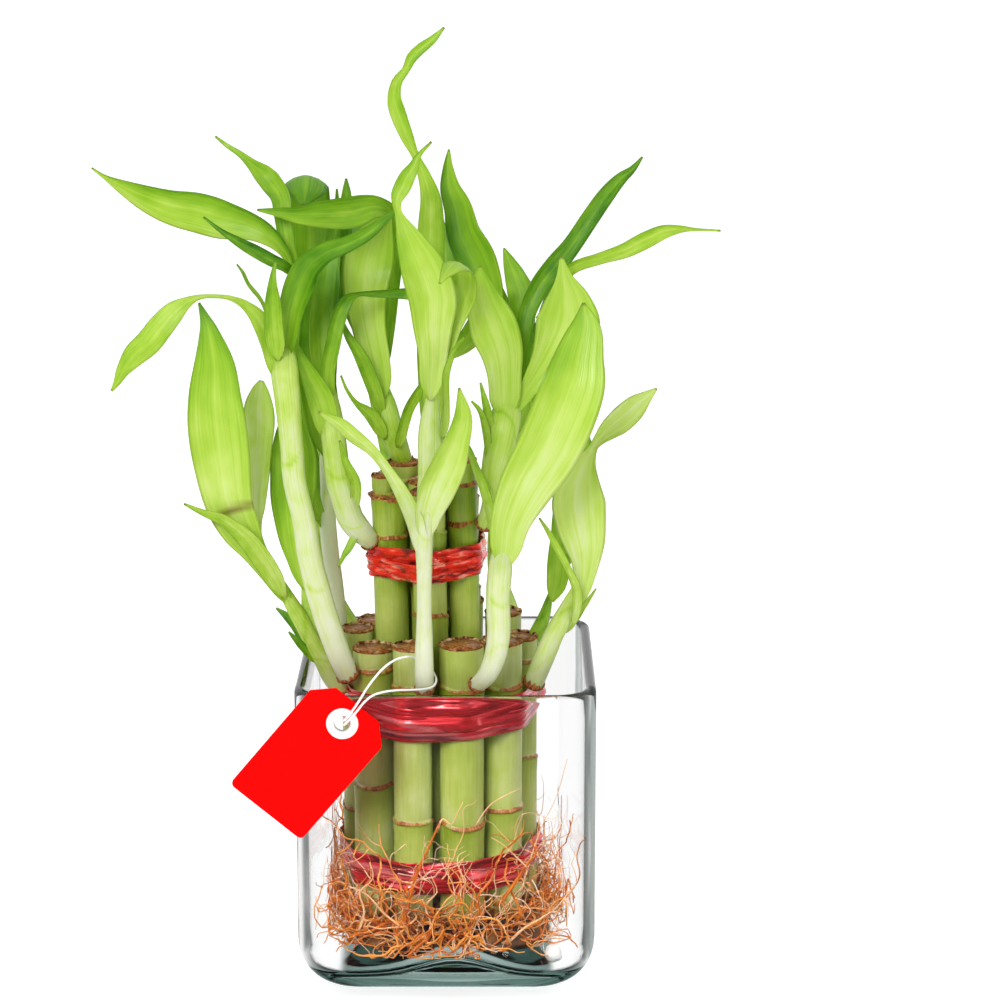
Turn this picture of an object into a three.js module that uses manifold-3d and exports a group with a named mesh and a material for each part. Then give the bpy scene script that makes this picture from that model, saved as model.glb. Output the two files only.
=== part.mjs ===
// Lucky bamboo in a square glass vase: two tiers of green canes held by red foil ties,
// leafy shoots, a tangle of orange roots, a little water, and a plain swing tag on a string.
// Millimetres, +Z up. The origin is the middle of the vase's underside; the front faces -Y.
// The vase and the water are given from there. All else is given from the point PLANT_AT, a
// little above the underside, and moved to it at the end.

import * as THREE from "three";
import { mergeVertices } from "three/addons/utils/BufferGeometryUtils.js";
import Module from "manifold-3d";

const wasm = await Module();
wasm.setup();

// ---------------------------------------------------------------- driving dimensions

const GAP = 0.35; // air kept between pieces that touch

const PLANT_AT = new THREE.Vector3(0.9, -1.3, 3); // the plant stands a little off the middle

const VASE_HALF = 51.3; // half the width over flats
const VASE_HEIGHT = 109.6;
const VASE_WALL = 3.6;
const VASE_CORNER = 13; // plan radius of the upright corners
const VASE_FOOT = 35; // half width of the flat underside
const VASE_HEEL = 20; // height of the rounded bottom edge
const FLOOR_EDGE = 7.7; // lowest height of the inner floor, near its corners
const FLOOR_CENTRE = 15.5; // the inner floor is pushed up in the middle
const FLOOR_SWELL = { height: 5.5, x: 3, spread: 16 }; // it also swells at the front and back

const ARC_STEPS = 3; // facets of each rounded corner
const FLAT_STEPS = 5; // parts of the front and of the back, to follow the swelling

const WATER_LEVEL = 47;
const WATER_SKIN = 2.2; // water left between the roots and the glass

const BUNDLE_X = -3.8; // axis of the lower bundle
const BUNDLE_RADIUS = 34.5; // to the outside of the outer canes
const CANE_FOOT = 18; // height of the cut feet of the canes
const CANE_SIDES = 8;
const NODE_BULGE = 0.35; // how far a node ring stands out of its cane

const CLUSTER_LEAN = -0.0176; // the inner canes lean to the left, mm per mm of height
const CLUSTER_LEVEL = 123; // height at which the inner canes stand at their listed places
const NECK_RADIUS = 3.6; // a narrow stub stands on the cut front left inner cane
const NECK_SHIFT = { x: -2.2, y: 2.2 };

const BLADE_EDGE = 0.7; // thickness of a leaf at its edges
const BLADE_RIB = 1.2; // thickness of a leaf along its middle
const BLADE_RINGS = 6; // fewest rings along a leaf, short spikes apart
const STEM_SIDES = 6;

const TAG_LENGTH = 49;
const TAG_WIDTH = 31;
const TAG_THICKNESS = 0.8;
const TAG_CUT = 6.2; // cut corners at the eyelet end
const TAG_ROUND = 2; // rounded corners at the other end
const TAG_TILT = 50; // degrees from level up to the eyelet end
const TAG_CENTRE = new THREE.Vector3(-45.7, -51.9, 85.5);
const EYELET_OFFSET = 16.4; // from the middle of the card towards its cut end
const EYELET_HOLE = 2.8;
const EYELET_RADIUS = 5.4;
const STRING_DIAMETER = 0.9;

// Outer canes, round the bundle from the front: angle from -Y towards +X in degrees,
// radius, height of the cut top and heights of the node rings.
const OUTER_CANES = [
  { angle: 18, radius: 7.6, top: 118.5, nodes: [54.5, 103.5] },
  { angle: 54, radius: 7.1, top: 117, nodes: [57, 101] },
  { angle: 90, radius: 6.6, top: 114, nodes: [70, 105] },
  { angle: 126, radius: 6.5, top: 118.5, nodes: [48, 96] },
  { angle: 162, radius: 6.9, top: 120, nodes: [60, 106] },
  { angle: 198, radius: 6.6, top: 121, nodes: [52, 100] },
  { angle: 234, radius: 6.8, top: 115.5, nodes: [64, 106] },
  { angle: 270, radius: 5.8, top: 117, nodes: [52, 98] },
  { angle: 306, radius: 7.2, top: 114.5, nodes: [66, 107.5] },
  { angle: 342, radius: 6.6, top: 118, nodes: [56, 104] },
];

// Inner canes: place of the axis at CLUSTER_LEVEL, radius, height of the top, node rings.
const INNER_CANES = [
  { at: [-6.3, -12.9], radius: 6, top: 169, nodes: [50, 125.5, 155.5] },
  { at: [5.3, -6.2], radius: 5.2, top: 179, nodes: [62, 108, 156, 170] },
  { at: [5.4, 6.2], radius: 5.3, top: 173, nodes: [80, 130.5, 163] },
  { at: [-4.5, 13.2], radius: 5.8, top: 172, nodes: [66, 121, 160] },
  { at: [-15.5, 9.5], radius: 5.8, top: 174.5, nodes: [74, 127, 168] },
  { at: [-20.2, -2.6], radius: 5.9, top: 172, nodes: [60, 104, 151.5], neck: 165 },
  { at: [-7.4, 0], radius: 6, top: 170, nodes: [70, 132, 160] },
];

// Foil ties: middle height, height of the band, inside radius, axis, rise to the right.
const TIES = [
  { name: "tie_lower", height: 36.6, band: 11.5, inside: 35.3, x: BUNDLE_X, rise: 0 },
  { name: "tie_middle", height: 93.2, band: 14, inside: 35.3, x: BUNDLE_X, rise: 0 },
  { name: "tie_upper", height: 143.4, band: 11.5, inside: 20, x: -7.6, rise: 2.4 },
];
const TIE_THICKNESS = 1.3;

// Colours
const LEAF_GREEN = "#8cc63a";
const LEAF_DARK = "#4f9a1c";
const LEAF_PALE = "#c9e28c";
const CANE_GREEN = "#9fb34a";
const ROOT_ORANGE = "#d8741f";
const FOIL_RED = "#d81b1b";
const PAPER_RED = "#e60a0a";

// Leafy shoots. Each stem is a list of [x, y, z, radius]. A leaf runs from its foot to its tip as
// [x, y, z, half width]; roll turns it about its own line, away from facing the front, and
// cup is how steeply its two halves rise, both in degrees. A carried leaf arches towards or
// away from the front, so its roll is kept from the foot instead.
const SHOOTS = {
  shoot_front_centre: {
    colour: LEAF_PALE,
    stems: [[
      [-8, -35, 104, 3], [-8, -39, 112, 3.2], [-8, -39, 121, 3], [-8, -34, 132, 2.6],
      [-8, -30, 145, 2.7], [-8, -27, 159, 3.5], [-6, -24, 175, 4.5], [-6, -22, 192, 4.2],
      [-5, -20, 208, 3.6],
    ]],
    leaves: [
      { roll: 20, cup: 25, path: [[-9, -30, 149, 2.5], [-11, -30, 161, 3.5], [-15, -31, 171, 3],
        [-20, -32, 180, 2], [-25, -33, 187, 2], [-31, -33, 192, 2.7], [-36, -32, 196, 2.5],
        [-43, -30, 200, 0.4]] },
      { roll: 10, cup: 30, path: [[-8, -28, 154, 3], [-7, -29, 164, 5], [-4, -31, 174, 7],
        [0, -32, 183, 7], [3, -32, 191, 5], [5, -31, 199, 3.5], [4, -29, 208, 0.4]] },
      { roll: 50, cup: 20, path: [[-2, -23, 189, 3], [-1, -24, 201, 2], [-1, -25, 211, 2],
        [1, -26, 218, 1.5], [3, -27, 222, 1], [6, -27, 225, 0.4]] },
      { roll: 5, cup: 20, path: [[-6, -20, 202, 4], [-5, -20, 216, 5], [-5, -22, 228, 7],
        [-5, -25, 238, 8.5], [-8, -28, 248, 8], [-12, -28, 257, 5], [-15.5, -26, 265, 1.6],
        [-16.5, -25.5, 269, 1.6], [-16, -25, 272, 2.6], [-14.5, -24, 275, 3], [-13, -24, 278, 2.8],
        [-11, -23, 281, 2], [-9, -22, 285, 0.9], [-5, -20, 289, 0.4]] },
      { roll: -15, cup: 20, carried: true, path: [[-3, -18, 212, 3.5], [0, -19, 227, 5.5],
        [4, -22, 240, 7.5], [5, -27, 248, 6.5], [3, -36, 251, 4.5], [0, -44, 249, 2],
        [-2, -48, 246, 0.4]] },
    ],
  },
  shoot_front_right: {
    colour: LEAF_GREEN,
    stems: [[
      [9, -34, 105, 2.6], [14, -38, 112, 3.4], [17, -38, 123, 4], [17, -33, 136, 4.2],
      [18, -28, 148, 4.5], [20, -26, 157, 4.5],
    ]],
    leaves: [
      { roll: 0, cup: 18, path: [[19, -28, 145, 4.5], [21, -28, 161, 7], [26, -30, 174, 9.5],
        [33, -33, 187, 11], [38, -35, 199, 11.5], [42, -34, 210, 11], [44, -31, 219, 8.6],
        [46, -28, 228, 5.6], [45.5, -25, 236, 0.5]] },
      { roll: 30, cup: 20, path: [[17, -27, 145, 1.5], [15, -25, 160, 2], [12, -24, 172, 2],
        [9, -24, 180, 1.5], [7, -24, 186, 1], [5, -24, 189, 0.4]] },
    ],
  },
  shoot_right: {
    colour: LEAF_PALE,
    stems: [[
      [29, -16, 100, 3.2], [32, -18, 109, 3.6], [36, -16, 118, 3.5], [40.5, -13, 126, 3.3],
      [43.5, -11, 134, 2.7],
    ]],
    leaves: [
      { roll: 10, cup: 15, path: [[43, -13, 126, 2.5], [46, -11, 134, 3.2], [47, -10, 143, 5.2],
        [46.5, -10, 150, 7.5], [45, -10, 158, 9.3], [44.3, -9, 166, 9.6], [46, -7, 175, 5.5],
        [49, -5, 181, 2], [51, -3, 184, 2], [55, -1, 188, 4], [59, 1, 191, 5], [64, 3, 195, 4.5],
        [68, 5, 198, 2.5], [72, 6, 201, 0.4]] },
      { roll: 20, cup: 30, path: [[43, -14, 121, 2], [44, -15, 133, 2], [41, -17, 142, 1.5],
        [37, -18, 150, 1.5], [34, -19, 156, 1], [31, -20, 161, 0.4]] },
      { roll: 30, cup: 20, path: [[40, -12, 118, 1.5], [45, -10, 125, 1.5], [51, -8, 133, 0.4]] },
    ],
  },
  shoot_right_rear: {
    colour: LEAF_DARK,
    stems: [[[28, 4, 109, 2.4], [33, 6, 118, 2.6], [36, 8, 128, 2.5]]],
    leaves: [
      { roll: 10, cup: 25, path: [[36, 7, 124, 2.8], [37.5, 8, 132, 4.2], [38, 9, 140, 4.4],
        [38, 10, 147, 3.2], [37, 10, 152, 1.5], [36.5, 10, 156, 0.4]] },
      { roll: 20, cup: 20, path: [[36, 8, 127, 2.5], [39, 14, 139, 4.5], [42, 22, 152, 6.5],
        [44, 32, 162, 7], [46, 42, 171, 5.5], [46, 52, 180, 2.5], [46, 58, 188, 0.4]] },
    ],
  },
  shoot_left_pale: {
    colour: LEAF_PALE,
    stems: [[
      [-34, -24, 105, 3.4], [-38, -26, 116, 4], [-43, -26, 132, 4.2], [-47, -25, 148, 4.2],
      [-49, -24, 161, 4], [-52, -23, 175, 4], [-53, -22, 189, 4.2], [-54, -21, 202, 4.6],
      [-55, -20, 213, 5], [-55, -19, 221, 5],
    ]],
    leaves: [
      { roll: 15, cup: 15, path: [[-57, -20, 208, 3], [-59, -21, 220, 3.6], [-62.5, -22, 229, 3.2],
        [-67, -23, 234.5, 1.8], [-72, -25, 237.5, 0.9], [-77, -27, 238.5, 0.7],
        [-82, -29, 238.5, 0.9], [-86, -31, 237, 2], [-90, -32, 234, 3.8], [-94.5, -33, 229, 4.5],
        [-98.5, -33, 224, 4.5], [-103.5, -32, 219.5, 4], [-107.5, -31, 214.5, 2.5], [-110, -30, 210, 1.3],
        [-112, -30, 207, 0.4]] },
      { roll: 60, cup: 10, path: [[-58, -16, 218, 1.5], [-62, -14, 233, 1], [-67, -13, 240, 1],
        [-69, -12, 244, 0.8], [-71, -12, 247, 0.4]] },
      { roll: 0, cup: 25, path: [[-57, -22, 216, 3.5], [-58, -23, 228, 3.5], [-58, -24, 236, 3],
        [-58, -24, 243, 1.5], [-57, -24, 250, 0.4]] },
      { roll: -10, cup: 30, path: [[-55, -17, 214, 3], [-53, -16, 227, 4.3], [-51.5, -16, 234, 5.2],
        [-49, -16, 241, 5.8], [-46, -17, 247, 5.4], [-40, -19, 252, 4], [-33, -21, 255, 3.2],
        [-26, -23, 259, 2.6], [-20, -24, 264, 1.5], [-16, -24, 267, 0.4]] },
      { roll: -10, cup: 30, path: [[-54, -14, 216, 2.5], [-52, -8, 238, 1.8], [-53, -7, 246, 1.5],
        [-56, -7, 252, 2.5], [-61, -7, 257, 4.5], [-67, -6, 260, 6], [-75, -4, 262, 7.8],
        [-84, -1, 264, 8], [-93, 3, 265, 7.2], [-102, 8, 267, 5.5], [-111, 13, 270, 3],
        [-118, 16, 273, 1], [-123, 18, 276, 0.4]] },
      { roll: 10, cup: 30, path: [[-54, -15, 218, 2], [-52, -12, 241, 1.5], [-54, -14, 246, 2],
        [-59, -16, 249, 2.5], [-64, -17, 252, 2.5], [-69, -18, 255, 2], [-75, -19, 259, 1],
        [-81, -20, 264, 0.4]] },
      { roll: 10, cup: 20, path: [[-54, -14, 216, 2], [-52, -6, 240, 2.2], [-54.5, -4, 252, 2.8],
        [-56, -2, 262, 3.2], [-57, 1, 268, 3.6], [-60, 5, 272, 4], [-63, 7, 275, 3.5],
        [-67, 10, 278, 2], [-71, 13, 281, 1.2], [-76, 15, 284, 0.8], [-80, 16, 287, 0.4]] },
    ],
  },
  shoot_left_low: {
    colour: LEAF_GREEN,
    stems: [[
      [-37.5, -13, 97, 2.6], [-41, -15, 103, 3], [-43.5, -16, 109.5, 3.2], [-47, -17, 116, 3.1],
      [-51, -17, 124, 3], [-55.5, -18, 132, 3.1], [-59, -19, 140, 3.2],
    ], [
      [-37.5, -11, 97, 2.8], [-41, -12.5, 104, 3.1], [-44.5, -14, 111, 3.2],
      [-47.4, -14, 118, 3.4], [-49, -13, 129, 3], [-50.8, -12, 137, 2.8],
    ]],
    leaves: [
      { roll: 0, cup: 12, path: [[-54, -17, 129, 2.5], [-60, -18, 139, 3.2], [-66, -20, 149, 4.5],
        [-70.5, -23, 158, 7], [-74, -27, 169, 8.4], [-75.5, -31, 184, 9.8], [-76.5, -33, 196, 10],
        [-77, -34, 206, 9], [-77, -34, 217, 7], [-78.5, -33, 227, 3.6], [-80, -32, 232, 1.8],
        [-82, -31, 237, 0.4]] },
      { roll: 10, cup: 15, path: [[-56, -18, 132, 2.5], [-61.5, -20, 143, 3.5],
        [-68, -24, 154, 3.4], [-75, -29, 162, 2.2], [-82, -33, 166, 1.2], [-88, -37, 170, 0.4]] },
      { roll: 10, cup: 15, path: [[-65, -20, 149, 2.2], [-66.5, -18, 158, 2.8],
        [-66, -17, 165, 3.6], [-65.5, -16, 174, 4.4], [-65, -15, 184, 5], [-64.5, -14, 193, 5.6],
        [-64.5, -13, 199, 5], [-64, -12, 204, 3], [-63.5, -11, 207, 0.8]] },
      { roll: 0, cup: 20, path: [[-50, -12.5, 134, 2.8], [-52, -12, 143, 3.4],
        [-53.2, -11, 152, 5.6], [-53.6, -9, 164, 7.8], [-53.2, -8, 173, 8.5],
        [-53.2, -7, 181, 8.2], [-53.4, -7, 189, 6], [-53, -7, 198, 2.2], [-53, -7, 203, 0.4]] },
      { roll: 15, cup: 25, path: [[-47, -15, 110, 2.5], [-52, -12, 119, 2.3],
        [-56, -11, 123.5, 1.6], [-60, -10, 126.5, 0.4]] },
      { roll: 30, cup: 20, path: [[-46, -17, 109, 1.5], [-51, -20, 116, 1.5],
        [-55, -21, 121, 0.4]] },
    ],
  },
  shoot_left_rear: {
    colour: LEAF_DARK,
    stems: [[
      [-38, 5, 110, 2.4], [-40, 6, 129, 2.6], [-42, 7, 143, 3], [-43, 8, 157, 3],
      [-43, 9, 170, 3], [-44, 11, 182, 3],
    ]],
    leaves: [
      { roll: 15, cup: 25, path: [[-43, 7, 149, 2], [-47, 5, 160, 2.5], [-48, 4, 169, 3],
        [-49, 4, 178, 3.5], [-51, 4, 187, 2], [-52, 4, 195, 0.4]] },
      { roll: 10, cup: 25, path: [[-44, 11, 176, 3], [-47, 13, 192, 4.5], [-48, 15, 206, 5.5],
        [-47, 17, 220, 6], [-46, 19, 232, 5], [-43, 21, 243, 3.5], [-40, 23, 252, 2.5],
        [-39, 24, 259, 1.5], [-39, 24, 268, 0.4]] },
      { roll: 0, cup: 12, carried: true, path: [[-44, 12, 176, 3], [-47, 20, 195, 4.5],
        [-48.5, 26, 215, 6.5], [-49, 30, 236, 8], [-49, 31, 252, 8.6], [-49, 28, 264, 8.6],
        [-49, 21, 271.5, 8.6], [-49, 13, 273.5, 8.4], [-49, 7, 270, 7], [-49, 3, 265, 1]] },
      { roll: 10, cup: 25, path: [[-43, 11, 178, 2], [-42, 17, 199, 2.2], [-41, 21, 214, 2.4],
        [-38, 25, 236, 2.8], [-36.5, 28, 256, 2.6], [-36, 28, 265, 2], [-36, 29, 271, 0.4]] },
    ],
  },
  shoot_inner_left: {
    colour: LEAF_GREEN,
    stems: [[
      [-27, -5, 149, 3], [-30, -8, 153, 4], [-33.6, -9, 158, 4.5], [-36, -8.5, 165, 4.6],
      [-38, -8, 173, 4.6], [-39.5, -6, 185, 4.5], [-41, -4, 197, 4.4], [-42, -3, 208, 3.8],
    ]],
    leaves: [
      { roll: 0, cup: 20, path: [[-41, -6, 185, 3.5], [-43, -8, 198, 5], [-47, -9, 208, 3.5],
        [-50, -9, 215, 1.6], [-52, -9, 221, 0.4]] },
      { roll: 20, cup: 30, path: [[-41, -4, 197, 3], [-42, -4, 208, 3.2], [-40, -4, 218, 3.2],
        [-38, -3, 227, 3.2], [-35, -2, 233, 2.6], [-31, 0, 235, 1], [-26, 2, 235, 1.5],
        [-20, 3, 235, 2], [-14, 3.5, 235, 2.5], [-9.5, 2.5, 234, 1.8], [-5, 0.5, 232, 0.4]] },
      { roll: 5, cup: 25, path: [[-42, -3, 203, 4], [-43, 0, 216, 5.5], [-43, 3, 227, 5.5],
        [-42, 6, 237, 5], [-41, 8, 245, 4], [-39, 11, 254, 2.5], [-37, 13, 262, 0.4]] },
      { roll: 20, cup: 20, path: [[-33, -10, 160, 2], [-32, -12, 171, 2], [-35, -14, 179, 1.5],
        [-37, -15, 187, 0.4]] },
      { roll: 30, cup: 10, path: [[-31, -10, 155, 1.5], [-34, -12, 149, 1.5], [-36, -13, 146, 1],
        [-38, -13, 142, 0.4]] },
    ],
  },
  shoot_upper_left: {
    colour: LEAF_GREEN,
    stems: [[
      [-15.6, 13, 172, 3], [-18.4, 11.4, 179.5, 3.9], [-21, 10, 187, 4.4], [-23, 10, 196, 4.5],
      [-25, 11, 206, 4.2],
    ]],
    leaves: [
      { roll: 0, cup: 15, path: [[-23, 10, 196, 4], [-25.5, 12, 210, 5.2], [-28, 14, 222, 6.2],
        [-29, 16, 234, 8], [-28, 18, 243, 9.2], [-25.5, 18, 252, 7.2], [-22, 16, 260, 3],
        [-20, 14, 264, 0.6]] },
      { roll: 0, cup: 25, path: [[-24, 13, 203, 2.5], [-22, 22, 218, 3], [-20, 26, 235, 3],
        [-18, 23, 250, 3], [-19, 16, 260, 2.5], [-25, 8, 264, 4], [-33, 2, 263, 6],
        [-41, -3, 263, 5.5], [-50, -6, 263, 3.5], [-56, -8, 264, 2], [-64, -9, 265, 0.4]] },
      { roll: 30, cup: 20, path: [[-23, 8, 190, 2.5], [-27, 5, 203, 3], [-31, 4, 213, 2.5],
        [-35, 4, 220, 1.5], [-37, 4, 226, 0.4]] },
      { roll: 20, cup: 20, path: [[-18, 6, 180, 2.5], [-16, 2, 188, 2], [-14, -1, 195, 2],
        [-11, -5, 201, 2], [-9, -8, 206, 0.4]] },
      { roll: 20, cup: 20, path: [[-22, 6, 183, 2.5], [-27, 2, 192, 2.5], [-32, 0, 197, 1],
        [-35, -2, 202, 0.6], [-37, -2, 207, 0.4]] },
    ],
  },
  shoot_inner_right: {
    colour: LEAF_GREEN,
    stems: [[
      [12, -9, 155, 2.8], [15, -12, 165, 3.4], [16, -12, 176, 4.8], [18, -10, 186, 5.5],
      [20, -8, 196, 5.8], [20, -7, 205, 5],
    ]],
    leaves: [
      { roll: 10, cup: 15, path: [[19, -8, 193, 5.5], [19, -9, 207, 6], [18, -10, 217, 7.5],
        [15, -12, 226, 8.5], [12, -14, 235, 6.5], [11, -15, 242, 3.5], [11, -16, 247, 0.5]] },
      { roll: -10, cup: 30, path: [[24, -5, 197, 2.5], [26, -1, 216, 3], [27, 2, 227, 3.5],
        [31, 5, 236, 4], [36.5, 8, 243, 4.3], [42.5, 11, 250, 3.8], [48.5, 14, 258.5, 3.7],
        [54, 17, 266, 3.4], [59, 20, 271.5, 2.5], [63.5, 22, 275, 1.4], [67, 24, 279, 0.4]] },
      { roll: 5, cup: 12, path: [[22, -7, 194, 2.5], [27, -7, 203, 3.2], [33, -6.5, 212, 5.8],
        [38, -6, 220, 10], [40.5, -5, 226, 11.4], [40.5, -4, 234, 8], [39.5, -3, 241, 3.2],
        [38.5, -2, 248, 0.5]] },
      { roll: 20, cup: 20, path: [[24, -4, 200, 2], [31, 4, 222, 2.5], [36, 6, 235, 2.5],
        [42, 6, 243, 2.5], [52, 4, 247, 2.5], [60, 2, 250, 3], [67, 0, 254, 3.5],
        [73, -2, 257, 3], [79, -4, 258, 1.5], [84, -6, 258, 0.6], [92, -9, 258, 0.4]] },
      { roll: 20, cup: 20, path: [[15, -12, 188, 1.5], [13, -14, 198, 1.5],
        [11, -15, 207, 0.4]] },
      { roll: 20, cup: 20, path: [[14, -13, 178, 1.5], [13, -15, 189, 1.5], [11, -16, 197, 1],
        [8, -17, 201, 0.4]] },
      { roll: 40, cup: 20, path: [[23, -8, 185, 1.5], [28, -5, 194, 1], [28, -4, 199, 1],
        [27, -3, 204, 0.4]] },
      { roll: 5, cup: 20, path: [[22, -3, 201, 2.5], [25, 4, 218, 4], [25, 8, 232, 5],
        [23, 10, 239, 4], [21, 11, 244, 2.5], [19, 12, 249, 0.4]] },
    ],
  },
  shoot_centre: {
    colour: LEAF_DARK,
    stems: [[
      [-5, 2, 171, 2.4], [-4, 6, 183, 2.6], [-3, 9, 196, 2.6], [-2, 11, 210, 2.6],
      [-2, 11, 218, 2.4],
    ]],
    leaves: [
      { roll: 5, cup: 25, path: [[-2, 11, 212, 2.5], [-4, 9, 232, 4], [-6, 6, 245, 5],
        [-6, 4, 257, 5], [-6, 3, 267, 4], [-8, 2, 275, 2.5], [-11, 2, 282, 1.5],
        [-14, 1, 289, 2.5], [-17, 1, 297, 3], [-18, 1, 302, 2.5], [-17, 1, 307, 2],
        [-14, 1, 311, 1.5], [-12, 1, 315, 2], [-9, 1, 318, 2], [-5, 1, 321, 1.5],
        [-1, 1, 325, 0.4]] },
      { roll: 15, cup: 30, path: [[-1, 12, 210, 3], [8, 14, 220, 5], [13, 15, 230, 6],
        [9.2, 16, 243, 7.8], [4.4, 17, 253, 7], [2.5, 18, 262, 5.8], [0, 19, 269, 4.1],
        [-0.5, 20, 276, 2.1], [0, 21, 282, 0.4]] },
    ],
  },
  shoot_back_left: {
    colour: LEAF_DARK,
    stems: [[
      [-32, 23, 102, 3.2], [-36, 27, 109, 3.4], [-42.5, 31, 119, 3.6], [-46, 34, 134, 3.8],
      [-46, 36, 160, 4], [-45, 38, 186, 4],
    ]],
    leaves: [
      { roll: 0, cup: 20, path: [[-44, 36, 160, 3.5], [-46, 44, 177, 7], [-50, 53, 194, 9],
        [-53, 62, 208, 8], [-56, 70, 219, 4.5], [-58, 77, 226, 0.5]] },
      { roll: 0, cup: 25, path: [[-45, 38, 180, 3.5], [-47, 41, 200, 7], [-49, 47, 218, 8],
        [-51, 55, 233, 6], [-52, 62, 242, 3], [-53, 68, 247, 0.4]] },
      { roll: 15, cup: 25, path: [[-45, 38, 182, 3], [-46, 42, 205, 4.5], [-45, 50, 224, 5],
        [-44, 59, 238, 3.5], [-43, 67, 246, 0.4]] },
    ],
  },
  shoot_back_right: {
    colour: LEAF_GREEN,
    stems: [[
      [22, 23, 103, 2.8], [21, 28, 114, 3.5], [17, 32, 126, 3.5], [17, 35, 145, 3.6],
      [21, 37, 165, 4], [23, 38, 186, 4],
    ]],
    leaves: [
      { roll: 0, cup: 20, path: [[23, 38, 178, 3.5], [30, 44, 194, 8], [36, 52, 206, 9],
        [40, 60, 215, 7], [42, 68, 221, 3.5], [43, 75, 224, 0.5]] },
      { roll: 0, cup: 25, path: [[22, 38, 182, 3.5], [19, 43, 204, 7], [15, 50, 220, 8],
        [10, 57, 232, 6], [6, 64, 239, 3], [3, 70, 243, 0.4]] },
      { roll: 10, cup: 20, path: [[22, 37, 166, 3], [27, 46, 176, 6], [32, 57, 184, 7],
        [36, 68, 189, 5.5], [39, 79, 190, 0.4]] },
    ],
  },
  shoot_back_centre: {
    colour: LEAF_GREEN,
    stems: [[
      [-12, 34, 104, 3], [-12, 39, 116, 3.6], [-10, 39, 135, 3.8], [-8, 37, 160, 4],
      [-7, 36, 184, 4],
    ]],
    leaves: [
      { roll: 0, cup: 20, path: [[-7, 37, 176, 3.5], [-7, 45, 194, 5], [-7, 55, 208, 5.8],
        [-7, 65, 218, 5.2], [-7, 75, 224, 3.5], [-7, 84, 226, 0.5]] },
      { roll: 0, cup: 25, path: [[-7, 37, 181, 3.5], [-5.5, 40, 203, 5], [-4.5, 45, 224, 6],
        [-3, 51, 241, 5], [-3, 57, 253, 0.4]] },
      { roll: 10, cup: 20, path: [[-10, 39, 148, 3.5], [-15, 48, 156, 6], [-19, 60, 158, 6.5],
        [-22, 72, 155, 5], [-24, 82, 149, 0.4]] },
    ],
  },
  shoot_upper_back: {
    colour: LEAF_DARK,
    stems: [[[-17, 16, 160, 2.8], [-21, 22, 175, 3.6], [-25, 27, 195, 4], [-28, 29, 213, 4]]],
    leaves: [
      { roll: 0, cup: 20, path: [[-26, 29, 208, 3.5], [-30, 36, 224, 8], [-32, 44, 237, 9],
        [-33, 53, 247, 6], [-33, 61, 252, 0.5]] },
      { roll: 0, cup: 20, path: [[-26, 29, 204, 3], [-29, 36, 210, 3.6], [-31, 43, 214, 3.4],
        [-32, 50, 215, 0.4]] },
    ],
  },
};

// Route of the string: out of the eyelet, up and behind the front shoot, and back again.
const STRING_ROUTE = [
  [-34.9, -51.6, 98.9], [-34.5, -53.3, 99.4], [-33.2, -54.2, 100.9], [-31.5, -54, 103.2],
  [-29.2, -53.2, 106.5], [-26.2, -50.6, 110.8], [-21.8, -47, 115.4], [-17.6, -43.5, 117.6],
  [-14.2, -40, 117.6], [-11.6, -36.6, 116.4], [-9.2, -34.2, 114.6], [-7, -33.5, 112.4],
  [-4.9, -34.2, 110.2], [-4, -36.8, 108.4], [-5, -40.2, 107.3], [-8, -42.4, 107],
  [-12, -44, 107.2],
  [-16.5, -46, 107.7], [-21, -48, 107.8], [-24.8, -50.4, 107.3], [-27.6, -52.4, 105.6],
  [-29.9, -53.9, 103.1], [-32.2, -54.4, 100.4], [-33.9, -53.9, 98.6], [-34.5, -52.6, 97.6],
];

// ---------------------------------------------------------------- solids and lofts

const group = new THREE.Group();
const vector = ([x, y, z]) => new THREE.Vector3(x, y, z);
const radians = THREE.MathUtils.degToRad;

// Small repeatable random numbers from 0 to 1.
function seededRandom(seed) {
  let state = seed;
  return () => {
    state = (state * 16807) % 2147483647;
    return state / 2147483647;
  };
}

function geometryFrom(points, triangles) {
  const geometry = new THREE.BufferGeometry();
  geometry.setAttribute("position", new THREE.Float32BufferAttribute(points.flat(), 3));
  geometry.setIndex(triangles.flat());
  return geometry;
}

function toSolid(geometry) {
  const bare = geometry.clone();
  bare.deleteAttribute("normal");
  bare.deleteAttribute("uv");
  const merged = mergeVertices(bare, 1e-4);
  return new wasm.Manifold(new wasm.Mesh({
    numProp: 3,
    vertProperties: new Float32Array(merged.attributes.position.array),
    triVerts: new Uint32Array(merged.index.array),
  }));
}

// The largest connected body of a solid, as a geometry.
function toGeometry(solid) {
  const bodies = solid.decompose();
  bodies.sort((a, b) => b.volume() - a.volume());
  const mesh = bodies[0].getMesh();
  const geometry = new THREE.BufferGeometry();
  geometry.setAttribute("position", new THREE.BufferAttribute(mesh.vertProperties, 3));
  geometry.setIndex(new THREE.BufferAttribute(mesh.triVerts, 1));
  return geometry;
}

function addPiece(name, geometry, colour, roughness = 0.5, extra = {}) {
  const shaded = geometry.clone();
  shaded.computeVertexNormals();
  const material = new THREE.MeshStandardMaterial({ color: colour, roughness, ...extra });
  const mesh = new THREE.Mesh(shaded, material);
  mesh.name = name;
  group.add(mesh);
  return mesh;
}

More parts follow.
